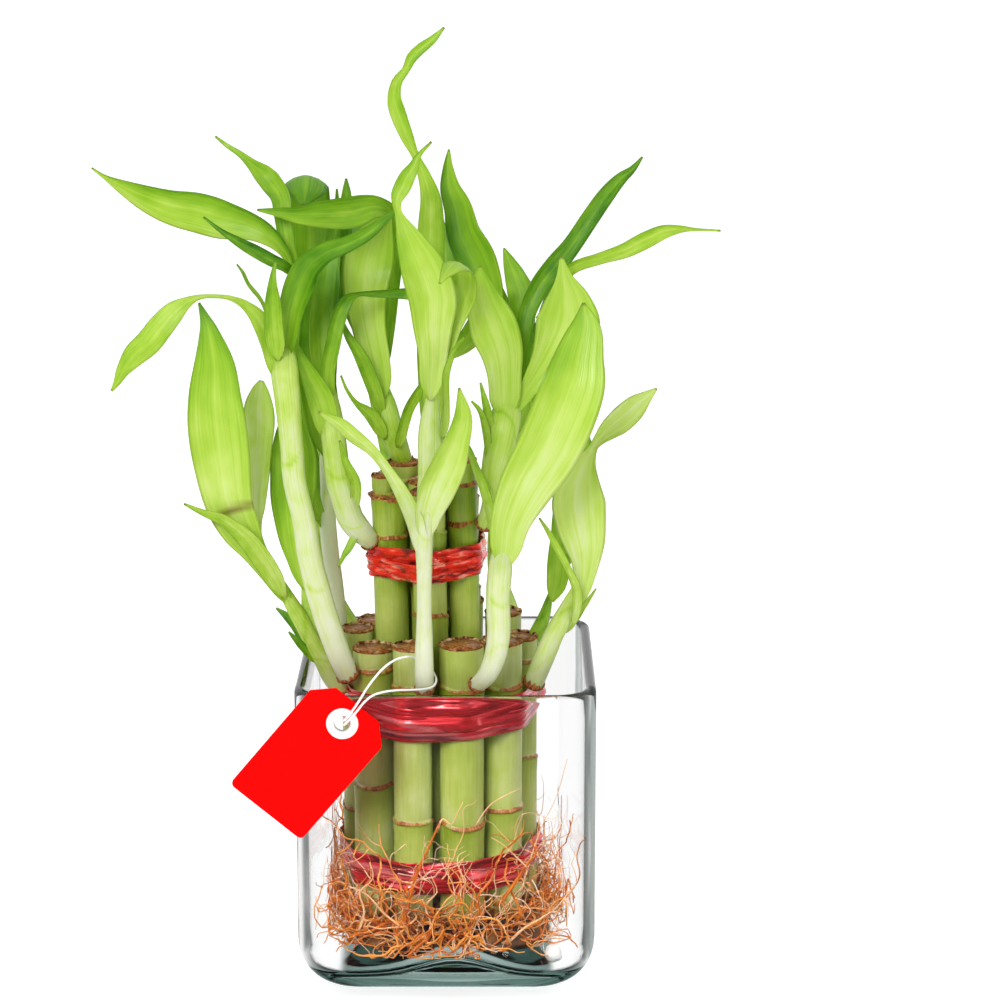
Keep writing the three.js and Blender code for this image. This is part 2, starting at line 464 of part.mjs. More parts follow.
// A closed skin through rings of points. The quads for which `crossed` holds, by ring and by
// column, are split along the other diagonal. A cap lists the triangles of the last ring.
function loft(rings, { crossed = () => false, cap = null } = {}) {
  const count = rings[0].length;
  const points = rings.flat().map((p) => [p.x, p.y, p.z]);
  const triangles = [];
  for (let i = 0; i + 1 < rings.length; i += 1) {
    for (let j = 0; j < count; j += 1) {
      const a = i * count + j;
      const b = i * count + ((j + 1) % count);
      const c = b + count;
      const d = a + count;
      if (crossed(i, j)) triangles.push([a, b, d], [b, c, d]);
      else triangles.push([a, b, c], [a, c, d]);
    }
  }
  const fan = Array.from({ length: count - 2 }, (_, k) => [0, k + 1, k + 2]);
  const last = (rings.length - 1) * count;
  for (const [a, b, c] of cap ?? fan) {
    triangles.push([a, c, b], [last + a, last + b, last + c]);
  }
  return geometryFrom(points, triangles);
}

function roundRing(centre, radius, sides, turn = 0) {
  return Array.from({ length: sides }, (_, k) => {
    const angle = turn + (2 * Math.PI * k) / sides;
    return new THREE.Vector3(
      centre.x + radius * Math.cos(angle), centre.y + radius * Math.sin(angle), centre.z);
  });
}

// A square ring at height z, its corners rounded in proportion, its front and back in steps.
function squareRing(half, z, { flatSteps = 1, rounding = VASE_CORNER / VASE_HALF } = {}) {
  const radius = rounding * half;
  const inset = half - radius;
  const ring = [];
  for (let quarter = 0; quarter < 4; quarter += 1) {
    const turn = (quarter * Math.PI) / 2;
    const cx = inset * Math.SQRT2 * Math.cos(turn + Math.PI / 4);
    const cy = inset * Math.SQRT2 * Math.sin(turn + Math.PI / 4);
    for (let k = 0; k <= ARC_STEPS; k += 1) {
      const angle = turn + ((Math.PI / 2) * k) / ARC_STEPS;
      ring.push(new THREE.Vector3(cx + radius * Math.cos(angle), cy + radius * Math.sin(angle), z));
    }
    const flat = new THREE.Vector3(-Math.sin(turn), Math.cos(turn), 0);
    const end = ring.at(-1);
    for (let k = 1; k < flatSteps && quarter % 2 === 0; k += 1) {
      const along = (2 * inset * k) / flatSteps;
      ring.push(new THREE.Vector3(end.x - flat.y * along, end.y + flat.x * along, z));
    }
  }
  return ring;
}

// ---------------------------------------------------------------- vase, water and pebbles

// Outline of the inner floor from its middle to the foot of the wall, raised by `lift`.
function floorOutline(lift, inside) {
  return [
    [10, FLOOR_CENTRE + lift], [20, FLOOR_CENTRE - 0.8 + lift], [30, FLOOR_EDGE + 3.5 + lift],
    [37.5, FLOOR_EDGE + lift], [inside - 4, FLOOR_EDGE + 0.5 + lift],
    [inside - 1.2, FLOOR_EDGE + 3 + lift], [inside, FLOOR_EDGE + 7.5 + lift],
  ];
}

// A ring of the inner floor, raised where the floor swells against the front and back.
function floorRing([half, z]) {
  const share = THREE.MathUtils.clamp((half - 28) / 14, 0, 1);
  return squareRing(half, z, { flatSteps: FLAT_STEPS }).map((p) => {
    const off = (p.x - FLOOR_SWELL.x) / FLOOR_SWELL.spread;
    return new THREE.Vector3(p.x, p.y, z + share * FLOOR_SWELL.height * Math.exp(-off * off));
  });
}

function makeVase() {
  const inside = VASE_HALF - VASE_WALL;
  const bend = VASE_HALF - VASE_FOOT;
  const outline = [[12, 0], [VASE_FOOT, 0]];
  for (const turn of [25, 50, 72, 90]) {
    outline.push([
      VASE_FOOT + bend * Math.sin(radians(turn)), VASE_HEEL * (1 - Math.cos(radians(turn)))]);
  }
  outline.push([VASE_HALF, VASE_HEIGHT - 1.6]);
  outline.push([VASE_HALF - 1.2, VASE_HEIGHT], [inside + 1.2, VASE_HEIGHT]);
  outline.push([inside, VASE_HEIGHT - 1.6]);
  const floor = floorOutline(0, inside).reverse().map(floorRing);
  const walls = outline.map(([half, z]) => squareRing(half, z, { flatSteps: FLAT_STEPS }));
  const glass = loft([...walls, ...floor], { crossed: (ring) => ring >= walls.length });
  addPiece("glass_vase", glass, "#dfeeea", 0.05, { transparent: true, opacity: 0.35 });
}

function makeWater() {
  const outside = VASE_HALF - VASE_WALL - GAP;
  const inside = outside - WATER_SKIN;
  const outer = floorOutline(GAP, outside).map(floorRing);
  const inner = floorOutline(GAP + 1, inside).reverse().map(floorRing);
  const surface = [outside, inside].map(
    (half) => squareRing(half, WATER_LEVEL, { flatSteps: FLAT_STEPS }));
  const rings = [...outer, ...surface, ...inner];
  const cup = loft(rings, { crossed: (ring) => ring > outer.length });
  addPiece("water", cup, "#cfe6e6", 0.02, { transparent: true, opacity: 0.3 });
}

function makePebbles() {
  const pebbles = [
    { name: "white_pebble", at: [36.6, -37.4, 10.6], radius: 3.4 },
    { name: "clear_bead_left", at: [15.4, -40.4, 12.4], radius: 1.4 },
    { name: "clear_bead_right", at: [19.6, -40.4, 11.4], radius: 1.2 },
  ];
  for (const { name, at, radius } of pebbles) {
    const pebble = new THREE.SphereGeometry(radius, 10, 6);
    pebble.scale(1, 0.95, 0.9);
    const mesh = addPiece(name, pebble, "#f2f1ec", 0.3);
    mesh.position.set(...at);
  }
}

// ---------------------------------------------------------------- canes and ties

// Place of an inner cane's axis at height z.
function innerPlace({ at }, z) {
  const lean = CLUSTER_LEAN * (z - CLUSTER_LEVEL);
  return new THREE.Vector3(at[0] + lean, at[1], z);
}

function outerPlace({ angle, radius }, z) {
  const ring = BUNDLE_RADIUS - radius;
  const turn = radians(angle);
  return new THREE.Vector3(BUNDLE_X + ring * Math.sin(turn), -ring * Math.cos(turn), z);
}

// A cut cane: a slightly chamfered foot, a raised ring at each node and a rimmed top.
function caneGeometry(place, radius, { top, nodes, neck }, swell) {
  const levels = [[CANE_FOOT, radius - 0.6], [CANE_FOOT + 1.5, radius]];
  for (const node of nodes) {
    levels.push([node - 1.8, radius], [node - 0.2, radius + NODE_BULGE], [node + 1.4, radius - 0.1]);
  }
  if (neck) levels.push([neck - 0.3, radius], [neck + 0.1, radius], [neck + 0.6, radius]);
  levels.push([top - 0.9, radius], [top, radius - 0.5]);
  const rings = levels.map(([z, r]) => {
    const centre = place(z);
    const narrowed = neck !== undefined && z > neck;
    if (narrowed) centre.add(new THREE.Vector3(NECK_SHIFT.x, NECK_SHIFT.y, 0));
    return roundRing(centre, (narrowed ? r - radius + NECK_RADIUS : r) + swell, CANE_SIDES);
  });
  if (swell > 0) {
    rings[0].forEach((p) => { p.z -= swell; });
    rings.at(-1).forEach((p) => { p.z += swell; });
  }
  return loft(rings);
}

function caneList() {
  const outer = OUTER_CANES.map((cane, i) => ({
    name: `outer_cane_${String(i + 1).padStart(2, "0")}`,
    geometry: (swell) => caneGeometry((z) => outerPlace(cane, z), cane.radius, cane, swell),
  }));
  const inner = INNER_CANES.map((cane, i) => ({
    name: `inner_cane_${String(i + 1).padStart(2, "0")}`,
    geometry: (swell) => caneGeometry((z) => innerPlace(cane, z), cane.radius, cane, swell),
  }));
  return [...outer, ...inner];
}

// A band of foil round the canes, with two rolled ribs, closed on itself.
function tieGeometry({ height, band, inside, x, rise }, swell = 0) {
  const outside = inside + TIE_THICKNESS + swell;
  const inner = inside - swell;
  const half = band / 2 + swell;
  const profile = [
    [inner, -half], [outside - 0.4, -half], [outside, -half * 0.5], [outside - 0.5, 0],
    [outside, half * 0.5], [outside - 0.4, half], [inner, half],
  ];
  const band3d = new THREE.LatheGeometry(
    [...profile, profile[0]].map(([r, h]) => new THREE.Vector2(r, h)), 24);
  band3d.rotateX(Math.PI / 2);
  band3d.rotateY(-Math.atan2(rise, 2 * inside));
  band3d.translate(x, 0, height);
  return band3d;
}

function makeCanesAndTies(canes) {
  for (const cane of canes) addPiece(cane.name, cane.geometry(0), CANE_GREEN, 0.45);
  for (const tie of TIES) {
    addPiece(tie.name, tieGeometry(tie), FOIL_RED, 0.25, { metalness: 0.4 });
  }
}

// ---------------------------------------------------------------- leafy shoots

// Points, sizes and side and face directions along a list of [x, y, z, size].
function sweepFrames(path, steps, roll, carried) {
  const line = new THREE.CatmullRomCurve3(path.map(vector), false, "catmullrom", 0.5);
  const sizes = new THREE.CatmullRomCurve3(
    path.map((p) => new THREE.Vector3(p[3], 0, 0)), false, "catmullrom", 0.5);
  const front = new THREE.Vector3(0, -1, 0);
  const smallest = Math.min(...path.map((p) => p[3]));
  let side = null;
  return Array.from({ length: steps + 1 }, (_, k) => {
    const u = k / steps;
    const along = line.getTangent(u);
    const square = along.clone().cross(front).normalize();
    if (side === null || !carried) side = square;
    side = side.clone().addScaledVector(along, -side.dot(along)).normalize();
    const across = side.clone().applyAxisAngle(along, radians(roll));
    return {
      at: line.getPoint(u),
      across,
      face: across.clone().cross(along),
      size: Math.max(sizes.getPoint(u).x, smallest),
    };
  });
}

function leafGeometry({ path, roll, cup, carried = false }) {
  const steps = path.length > 5 ? Math.max(BLADE_RINGS, path.length - 1) : path.length - 1;
  const frames = sweepFrames(path, steps, roll, carried);
  const rings = frames.map(({ at, across, face, size }) => {
    const out = size * Math.cos(radians(cup));
    const lift = size * Math.sin(radians(cup));
    const place = (x, y) => at.clone().addScaledVector(across, x).addScaledVector(face, y);
    return [
      place(out, lift + BLADE_EDGE / 2), place(out, lift - BLADE_EDGE / 2),
      place(0, -BLADE_RIB / 2),
      place(-out, lift - BLADE_EDGE / 2), place(-out, lift + BLADE_EDGE / 2),
      place(0, BLADE_RIB / 2),
    ];
  });
  const cap = [[0, 1, 2], [0, 2, 5], [2, 3, 4], [2, 4, 5]];
  return loft(rings, { crossed: (ring, column) => column > 3, cap });
}

// A round section with the given number of sides, square to the path.
function sectionRing({ at, across, face, size }, sides) {
  return Array.from({ length: sides }, (_, k) => {
    const angle = (-2 * Math.PI * k) / sides;
    return at.clone().addScaledVector(across, size * Math.cos(angle))
      .addScaledVector(face, size * Math.sin(angle));
  });
}

function stemGeometry(path) {
  const frames = sweepFrames(path, path.length - 1, 0, false);
  return loft(frames.map((frame) => sectionRing(frame, STEM_SIDES)));
}

// The canes and ties, swollen by the gap that other pieces keep from them.
function clearanceSolids(canes) {
  return [
    ...canes.map((cane) => toSolid(cane.geometry(GAP))),
    ...TIES.map((tie) => toSolid(tieGeometry(tie, GAP))),
  ];
}

// Each shoot is one body: its leaves run into its stem, and its foot is fitted to its cane.
function makeShoots(clearance) {
  for (const [name, { colour, stems, leaves }] of Object.entries(SHOOTS)) {
    const parts = [...stems.map(stemGeometry), ...leaves.map(leafGeometry)];
    let shoot = toSolid(parts[0]);
    for (const part of parts.slice(1)) shoot = shoot.add(toSolid(part));
    for (const solid of clearance) shoot = shoot.subtract(solid);
    addPiece(name, toGeometry(shoot), colour, 0.35);
  }
}

// ---------------------------------------------------------------- roots

const ROOT_STRANDS = 28;
// Half the width that the roots may fill.
const ROOT_LIMIT = VASE_HALF - VASE_WALL - GAP - WATER_SKIN - GAP + PLANT_AT.y;
const ROOT_NEAR = 38.2; // nearest they come to the axis of the bundle, clear of the tie
const ROOT_SIDES = 4;
const MAT_ROUNDING = 0.68; // how round the matted roots are in plan, from 0 to 1

// A point of a strand, in a direction: share 0 is against the canes and 1 against the glass.
function rootPoint(angle, share, z, radius) {
  const c = Math.cos(angle);
  const s = Math.sin(angle);
  const flat = ROOT_LIMIT / Math.max(Math.abs(c), Math.abs(s));
  const wall = Math.min(flat, ROOT_LIMIT + VASE_CORNER / 2) - 1.2;
  const x = (BUNDLE_X + ROOT_NEAR * c) * (1 - share) + wall * c * share;
  const y = ROOT_NEAR * s * (1 - share) + wall * s * share;
  return [x, y, z, radius];
}

// The matted core under the feet of the canes, hollowed to take the bundle.
function rootMat(random) {
  const outline = [
    [12, 15.2], [22, 14.6], [31, 11.4], [36, 11], [39.8, 14], [39.8, 18.5], [38, 20],
    [12, 20],
  ];
  const rings = outline.map(([half, z]) => {
    const rough = z > 18;
    return squareRing(half, z, { rounding: MAT_ROUNDING }).map((p) => {
      const shrink = rough ? 1 - 0.04 * random() : 1;
      return new THREE.Vector3(p.x * shrink, p.y * shrink, rough ? z + 2 * random() : z);
    });
  });
  const well = [17.6, 40].map((z) =>
    roundRing(new THREE.Vector3(BUNDLE_X, 0, z), BUNDLE_RADIUS + NODE_BULGE + 2 * GAP, 16));
  return toSolid(loft(rings)).subtract(toSolid(loft(well)));
}

function rootStrand(path) {
  const frames = sweepFrames(path, 5, 0, true);
  return loft(frames.map((frame) => sectionRing(frame, ROOT_SIDES)));
}

// A strand leaves the core, bends along the glass and turns back towards the canes. Every
// third one stays low, near the floor.
function rootPath(index, random) {
  const start = ((index + 0.6 * random()) / ROOT_STRANDS) * 2 * Math.PI;
  const swing = (random() < 0.5 ? -1 : 1) * (0.2 + 0.5 * random());
  const rise = index % 3 === 0 ? 22 + 6 * random() : 34 + 28 * random() ** 1.6;
  const radius = 0.65 + 0.3 * random();
  return [
    rootPoint(start, 0.2, 16, radius),
    rootPoint(start + swing * 0.2, 0.9, 18 + 4 * random(), radius),
    rootPoint(start + swing * 0.5, 0.95, rise * 0.8, radius),
    rootPoint(start + swing * 0.8, 0.7, rise, radius * 0.8),
    rootPoint(start + swing, 0.4 * random(), rise + 3, radius * 0.6),
  ];
}

function makeRoots() {
  const random = seededRandom(11);
  let roots = rootMat(random);
  for (let i = 0; i < ROOT_STRANDS; i += 1) {
    roots = roots.add(toSolid(rootStrand(rootPath(i, random))));
  }
  addPiece("root_mass", toGeometry(roots), ROOT_ORANGE, 0.5);
}

// ---------------------------------------------------------------- tag, eyelet and string

function tagOutline() {
  const left = -TAG_WIDTH / 2;
  const right = TAG_WIDTH / 2;
  const bottom = -TAG_LENGTH / 2;
  const top = TAG_LENGTH / 2;
  const outline = new THREE.Shape();
  outline.moveTo(left + TAG_ROUND, bottom);
  outline.lineTo(right - TAG_ROUND, bottom);
  outline.absarc(right - TAG_ROUND, bottom + TAG_ROUND, TAG_ROUND, -Math.PI / 2, 0);
  outline.lineTo(right, top - TAG_CUT);
  outline.lineTo(right - TAG_CUT, top);
  outline.lineTo(left + TAG_CUT, top);
  outline.lineTo(left, top - TAG_CUT);
  outline.lineTo(left, bottom + TAG_ROUND);
  outline.absarc(left + TAG_ROUND, bottom + TAG_ROUND, TAG_ROUND, Math.PI, 1.5 * Math.PI);
  const hole = new THREE.Path();
  hole.absarc(0, EYELET_OFFSET, EYELET_HOLE + 2 * GAP, 0, 2 * Math.PI, true);
  outline.holes.push(hole);
  return outline;
}

// The card and its eyelet are drawn flat, then stood up facing the front and tilted together.
function makeTag() {
  const card = new THREE.ExtrudeGeometry(
    tagOutline(), { depth: TAG_THICKNESS, bevelEnabled: false, curveSegments: 4 });
  card.translate(0, 0, -TAG_THICKNESS / 2);
  const flange = TAG_THICKNESS / 2 + GAP;
  const barrel = EYELET_HOLE + GAP;
  const profile = [
    [EYELET_HOLE, -flange - 0.4], [EYELET_RADIUS - 0.6, -flange - 0.4],
    [EYELET_RADIUS - 0.6, -flange], [barrel, -flange], [barrel, flange],
    [EYELET_RADIUS, flange], [EYELET_RADIUS - 0.3, flange + 0.5], [EYELET_HOLE, flange + 0.5],
  ];
  const eyelet = new THREE.LatheGeometry(
    [...profile, profile[0]].map(([r, h]) => new THREE.Vector2(r, h)), 14);
  eyelet.rotateX(Math.PI / 2);
  eyelet.translate(0, EYELET_OFFSET, 0);
  for (const flat of [card, eyelet]) {
    flat.rotateZ(radians(TAG_TILT - 90));
    flat.rotateX(Math.PI / 2);
    flat.translate(TAG_CENTRE.x, TAG_CENTRE.y, TAG_CENTRE.z);
  }
  addPiece("tag_card", toGeometry(toSolid(card)), PAPER_RED, 0.6);
  addPiece("tag_eyelet", toGeometry(toSolid(eyelet)), "#f4f4f2", 0.4);
}

function makeString() {
  const route = new THREE.CatmullRomCurve3(STRING_ROUTE.map(vector), false, "centripetal");
  const section = new THREE.Shape();
  section.absarc(0, 0, STRING_DIAMETER / 2, 0, 2 * Math.PI);
  const string = new THREE.ExtrudeGeometry(
    section, { steps: 36, curveSegments: 4, extrudePath: route, bevelEnabled: false });
  addPiece("tag_string", toGeometry(toSolid(string)), "#ffffff", 0.8);
}

// ---------------------------------------------------------------- assembly

const canes = caneList();
const clearance = clearanceSolids(canes);
makeVase();
makeWater();
makePebbles();
makeCanesAndTies(canes);
makeShoots(clearance);
makeRoots();
makeTag();
makeString();
for (const piece of group.children) {
  if (piece.name !== "glass_vase" && piece.name !== "water") piece.position.add(PLANT_AT);
}

export default group;
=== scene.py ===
"""Looks of the lucky bamboo in a square glass vase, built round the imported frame.

Every length in the tables is in millimetres, as on the real plant, and goes through MM.
+Z is up and the front faces -Y. The vase and the water are given from the part's origin, and
all else from the point PLANT_AT, a little above it.
"""

import math
import random
from collections import namedtuple

import bmesh
import bpy
import numpy as np
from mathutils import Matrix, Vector, noise


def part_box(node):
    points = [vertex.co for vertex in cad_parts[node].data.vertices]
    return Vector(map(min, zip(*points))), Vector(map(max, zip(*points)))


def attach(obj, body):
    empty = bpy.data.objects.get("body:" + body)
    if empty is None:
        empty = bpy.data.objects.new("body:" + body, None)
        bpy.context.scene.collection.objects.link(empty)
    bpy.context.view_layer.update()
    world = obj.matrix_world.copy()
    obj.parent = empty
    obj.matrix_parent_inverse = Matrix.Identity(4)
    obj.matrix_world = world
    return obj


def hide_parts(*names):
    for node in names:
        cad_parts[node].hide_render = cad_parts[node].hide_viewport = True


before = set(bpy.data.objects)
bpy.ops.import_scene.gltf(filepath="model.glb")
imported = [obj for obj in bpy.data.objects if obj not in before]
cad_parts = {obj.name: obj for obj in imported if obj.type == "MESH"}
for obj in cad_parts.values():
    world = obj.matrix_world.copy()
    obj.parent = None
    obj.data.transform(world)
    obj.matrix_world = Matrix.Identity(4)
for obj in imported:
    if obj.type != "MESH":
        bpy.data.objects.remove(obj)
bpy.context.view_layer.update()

MM = 0.001
BODY = "root"
FRONT = np.array([0.0, -1.0, 0.0])
ORIGIN = np.zeros(3)
PLANT_AT = np.array([0.9, -1.3, 3.0])
FULL_TURN = 2 * math.pi
WHITE = (1.0, 1.0, 1.0)

# ---------------------------------------------------------------- camera

CAMERA_TARGET = (17.67, 0.0, 162.63)
CAMERA_DISTANCE = 1000.0
CAMERA_TILT = 13.2  # degrees above level
LENS = 103.6
SENSOR = 36.0
FAR_CLIP = 20.0  # metres


def make_camera():
    tilt = math.radians(CAMERA_TILT)
    away = Vector((0, -math.cos(tilt), math.sin(tilt))) * CAMERA_DISTANCE
    data = bpy.data.cameras.new("camera")
    data.lens = LENS
    data.sensor_width = SENSOR
    data.clip_end = FAR_CLIP
    camera = bpy.data.objects.new("camera", data)
    camera.location = (Vector(CAMERA_TARGET) + Vector(PLANT_AT) + away) * MM
    camera.rotation_euler = (math.pi / 2 - tilt, 0, 0)
    bpy.context.scene.collection.objects.link(camera)
    bpy.context.scene.camera = camera


# ---------------------------------------------------------------- lines and rings


def smooth_line(points, count):
    """count + 1 points along the smooth curve that runs through the given ones."""
    p = np.array(points, float)
    p = np.vstack([2 * p[0] - p[1], p, 2 * p[-1] - p[-2]])
    t = np.linspace(0, len(points) - 1, count + 1)
    k = np.minimum(t.astype(int), len(points) - 2)
    s = (t - k)[:, None]
    a, b, c, d = p[k], p[k + 1], p[k + 2], p[k + 3]
    bend = (2 * a - 5 * b + 4 * c - d) * s**2 + (3 * b - a - 3 * c + d) * s**3
    return 0.5 * (2 * b + (c - a) * s + bend)


def distance_along(at):
    steps = np.linalg.norm(np.diff(at, axis=0), axis=1)
    return np.concatenate([[0], np.cumsum(steps)])


def unit(rows):
    length = np.linalg.norm(rows, axis=-1, keepdims=True)
    return rows / np.maximum(length, 1e-9)


def turns(count):
    """Evenly spaced angles, once round."""
    return np.linspace(0, FULL_TURN, count, endpoint=False)


def columns(*parts):
    """Arrays spread to one shape and set side by side along a new last axis."""
    return np.stack(np.broadcast_arrays(*parts), axis=-1)


def bell(off, width):
    """A smooth bump of height 1 where `off` is 0."""
    return np.exp(-((off / width) ** 2))


def wobble(rows, scale, seed):
    """Smooth noise from -1 to 1 at each point, a few millimetres to a swing at scale 0.3."""
    flat = rows.reshape(-1, 3) * scale + seed
    return np.array([noise.noise(p) for p in flat]).reshape(rows.shape[:-1])


def sweep_frames(at, roll=0.0, carried=False):
    """Directions across and out of the face of a blade or tube that follows a line."""
    along = unit(np.gradient(at, axis=0))
    across = unit(np.cross(along, FRONT))
    if carried:
        for i in range(1, len(at)):
            before = across[i - 1]
            across[i] = unit(before - along[i] * (before @ along[i]))
    turn = math.radians(roll)
    across = across * math.cos(turn) + np.cross(along, across) * math.sin(turn)
    return across, np.cross(across, along)


def section_rings(at, across, face, x, y):
    """Rings of points at x across and y out of the face, one ring for each point of a line."""
    return at[:, None] + x[..., None] * across[:, None] + y[..., None] * face[:, None]


def tube_rings(line, sides, swell=1.0):
    """Rings and lies of a round tube along a line of (x, y, z, radius)."""
    at, radius = line[:, :3], line[:, 3:] * swell
    turn = turns(sides)
    rings = section_rings(at, *sweep_frames(at), radius * np.cos(turn), radius * np.sin(turn))
    far = distance_along(at) / line[:, 3].mean()
    return rings, columns(np.cos(turn), np.sin(turn), far[:, None])


def level_rings(centre, radius, turn):
    """Level rings, round the points of a line that goes up."""
    rings = np.repeat(centre[:, None], len(turn), axis=1)
    rings[..., 0] += radius * np.cos(turn)
    rings[..., 1] += radius * np.sin(turn)
    return rings


def two_sided(front, back):
    """Rings that run over the front of a strip and return under its back."""
    return np.concatenate([front, back[:, ::-1]], axis=1)


# ---------------------------------------------------------------- meshes


class Skin:
    """Gathers closed skins into one mesh, given from the point `at`. Each point keeps its lie
    (where it is on its own blade or tube), a tone and a scar, which the materials read, and
    each face a kind. On a foil ribbon the scar is painted shade in its folds, and on a leaf the
    tone holds painted shade over one half."""

    def __init__(self, at=PLANT_AT):
        self.at = at
        self.points, self.lies, self.tones, self.scars_and_shade = [], [], [], []
        self.faces, self.kinds = [], []
        self.count = 0

    def loft(self, rings, lie, tone=0.0, scar=0.0, kind=0, joined=False):
        """A skin through rings of points: (rings, points in a ring, 3). It is capped at both
        ends, or its last ring runs into its first if it is joined."""
        n, m = rings.shape[:2]
        self.points.append(rings.reshape(-1, 3))
        self.lies.append(lie.reshape(-1, 3))
        self.tones.append(np.broadcast_to(tone, (n, m)).reshape(-1))
        self.scars_and_shade.append(np.broadcast_to(scar, (n, m)).reshape(-1))
        start, before = self.count, len(self.faces)
        for i in range(n if joined else n - 1):
            a, b = start + i * m, start + ((i + 1) % n) * m
            for j in range(m):
                k = (j + 1) % m
                self.faces.append((a + j, a + k, b + k, b + j))
        if not joined:
            self.faces.append(tuple(range(start + m - 1, start - 1, -1)))
            self.faces.append(tuple(range(start + (n - 1) * m, start + n * m)))
        self.kinds += [kind] * (len(self.faces) - before)
        self.count += n * m

    def piece(self, name, materials, replaced):
        """The gathered skins as one object that rides on the part's body."""
        mesh = bpy.data.meshes.new(name)
        points = (np.vstack(self.points) + self.at) * MM
        mesh.from_pydata(points.tolist(), [], self.faces)
        lies = mesh.attributes.new("lie", "FLOAT_VECTOR", "POINT")
        lies.data.foreach_set("vector", np.vstack(self.lies).astype(np.float32).ravel())
        for label, values in (("tone", self.tones), ("scar", self.scars_and_shade)):
            numbers = mesh.attributes.new(label, "FLOAT", "POINT")
            numbers.data.foreach_set("value", np.concatenate(values).astype(np.float32))
        mesh.polygons.foreach_set("material_index", self.kinds)
        mesh.polygons.foreach_set("use_smooth", [True] * len(self.faces))
        face_outwards(mesh)
        for material in materials:
            mesh.materials.append(material)
        made = bpy.data.objects.new(name, mesh)
        bpy.context.scene.collection.objects.link(made)
        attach(made, BODY)
        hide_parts(replaced)
        return made


def face_outwards(mesh):
    shape = bmesh.new()
    shape.from_mesh(mesh)
    bmesh.ops.recalc_face_normals(shape, faces=shape.faces)
    shape.to_mesh(mesh)
    shape.free()


# ---------------------------------------------------------------- materials


def shade(hex_colour):
    """A colour given as six hex digits, in the linear values that shaders take."""
    parts = [int(hex_colour[i:i + 2], 16) / 255 for i in (0, 2, 4)]
    return tuple(c / 12.92 if c <= 0.04045 else ((c + 0.055) / 1.055) ** 2.4 for c in parts)


class Nodes:
    """Short ways to add nodes to a tree. A colour is six hex digits or three linear values."""

    def __init__(self, tree):
        self.tree = tree

    def put(self, socket, value):
        if isinstance(value, bpy.types.NodeSocket):
            self.tree.links.new(value, socket)
            return
        if isinstance(value, str):
            value = shade(value)
        socket.default_value = (*value, 1) if socket.type == "RGBA" else value

    def node(self, kind, inputs=None, out=0, **settings):
        """Adds a node and gives one of its outputs. Inputs go by name or by number."""
        made = self.tree.nodes.new(kind)
        for key, value in settings.items():
            setattr(made, key, value)
        for key, value in (inputs or {}).items():
            self.put(made.inputs[key], value)
        return made.outputs[out]

    def math(self, operation, a, b=0.0, clamp=False):
        return self.node("ShaderNodeMath", {0: a, 1: b}, operation=operation, use_clamp=clamp)

    def add(self, a, b, clamp=False):
        return self.math("ADD", a, b, clamp)

    def less(self, a, b, clamp=False):
        return self.math("SUBTRACT", a, b, clamp)

    def times(self, a, b):
        return self.math("MULTIPLY", a, b)

    def span(self, value, low, high, to_low=0.0, to_high=1.0):
        """Climbs smoothly from to_low to to_high as the value goes from low to high."""
        inputs = {"Value": value, "From Min": low, "From Max": high,
                  "To Min": to_low, "To Max": to_high}
        return self.node("ShaderNodeMapRange", inputs, "Result", interpolation_type="SMOOTHSTEP")

    def reach(self, length, low, high):
        """Climbs from 0 to 1 as a length goes from low to high millimetres."""
        return self.span(length, low * MM, high * MM)

    def parts(self, vector):
        """The x, y and z of a vector."""
        return self.node("ShaderNodeSeparateXYZ", {"Vector": vector}).node.outputs

    def light_path(self, name):
        return self.node("ShaderNodeLightPath", out=name)


class Paint(Nodes):
    """A material and short ways to dress its surface."""

    def __init__(self, name):
        self.material = bpy.data.materials.new(name)
        self.material.use_nodes = True
        super().__init__(self.material.node_tree)
        self.shader = self.tree.nodes["Principled BSDF"]
        self.output = self.tree.nodes["Material Output"]

    def set(self, **inputs):
        """Sets inputs of the Principled shader, their names written with underscores."""
        for key, value in inputs.items():
            self.put(self.shader.inputs[key.replace("_", " ")], value)

    def lie(self):
        return self.node("ShaderNodeAttribute", out="Vector", attribute_name="lie")

    def attribute(self, name):
        return self.node("ShaderNodeAttribute", out="Fac", attribute_name=name)

    def place(self):
        return self.node("ShaderNodeTexCoord", out="Object")

    def noise(self, vector, scale, detail=3.0, roughness=0.5):
        inputs = {"Vector": vector, "Scale": scale, "Detail": detail, "Roughness": roughness}
        return self.node("ShaderNodeTexNoise", inputs, "Fac")

    def streaks(self, vector, stretch, detail=3.0, roughness=0.5, scale=1.0):
        """Noise, short along an axis where the stretch is high and drawn out where it is low."""
        drawn = self.node("ShaderNodeMapping", {"Vector": vector, "Scale": stretch})
        return self.noise(drawn, scale, detail, roughness)

    def ramp(self, value, stops):
        made = self.tree.nodes.new("ShaderNodeValToRGB")
        elements = made.color_ramp.elements
        while len(elements) < len(stops):
            elements.new(0.5)
        for element, (at, colour) in zip(elements, stops):
            element.position = at
            element.color = (*shade(colour), 1)
        self.put(made.inputs["Fac"], value)
        return made.outputs["Color"]

    def mix(self, share, a, b):
        """Two colours mixed. The second one takes this share."""
        return self.node("ShaderNodeMix", {0: share, 6: a, 7: b}, 2, data_type="RGBA")

    def bump(self, height, distance, strength):
        inputs = {"Height": height, "Distance": distance * MM, "Strength": strength}
        normal = self.node("ShaderNodeBump", inputs, "Normal")
        self.set(Normal=normal)
        return normal

    def show(self, share, first, second):
        """Makes the surface of two shaders. The second one takes this share."""
        mixed = self.node("ShaderNodeMixShader", {0: share, 1: first, 2: second})
        self.put(self.output.inputs["Surface"], mixed)


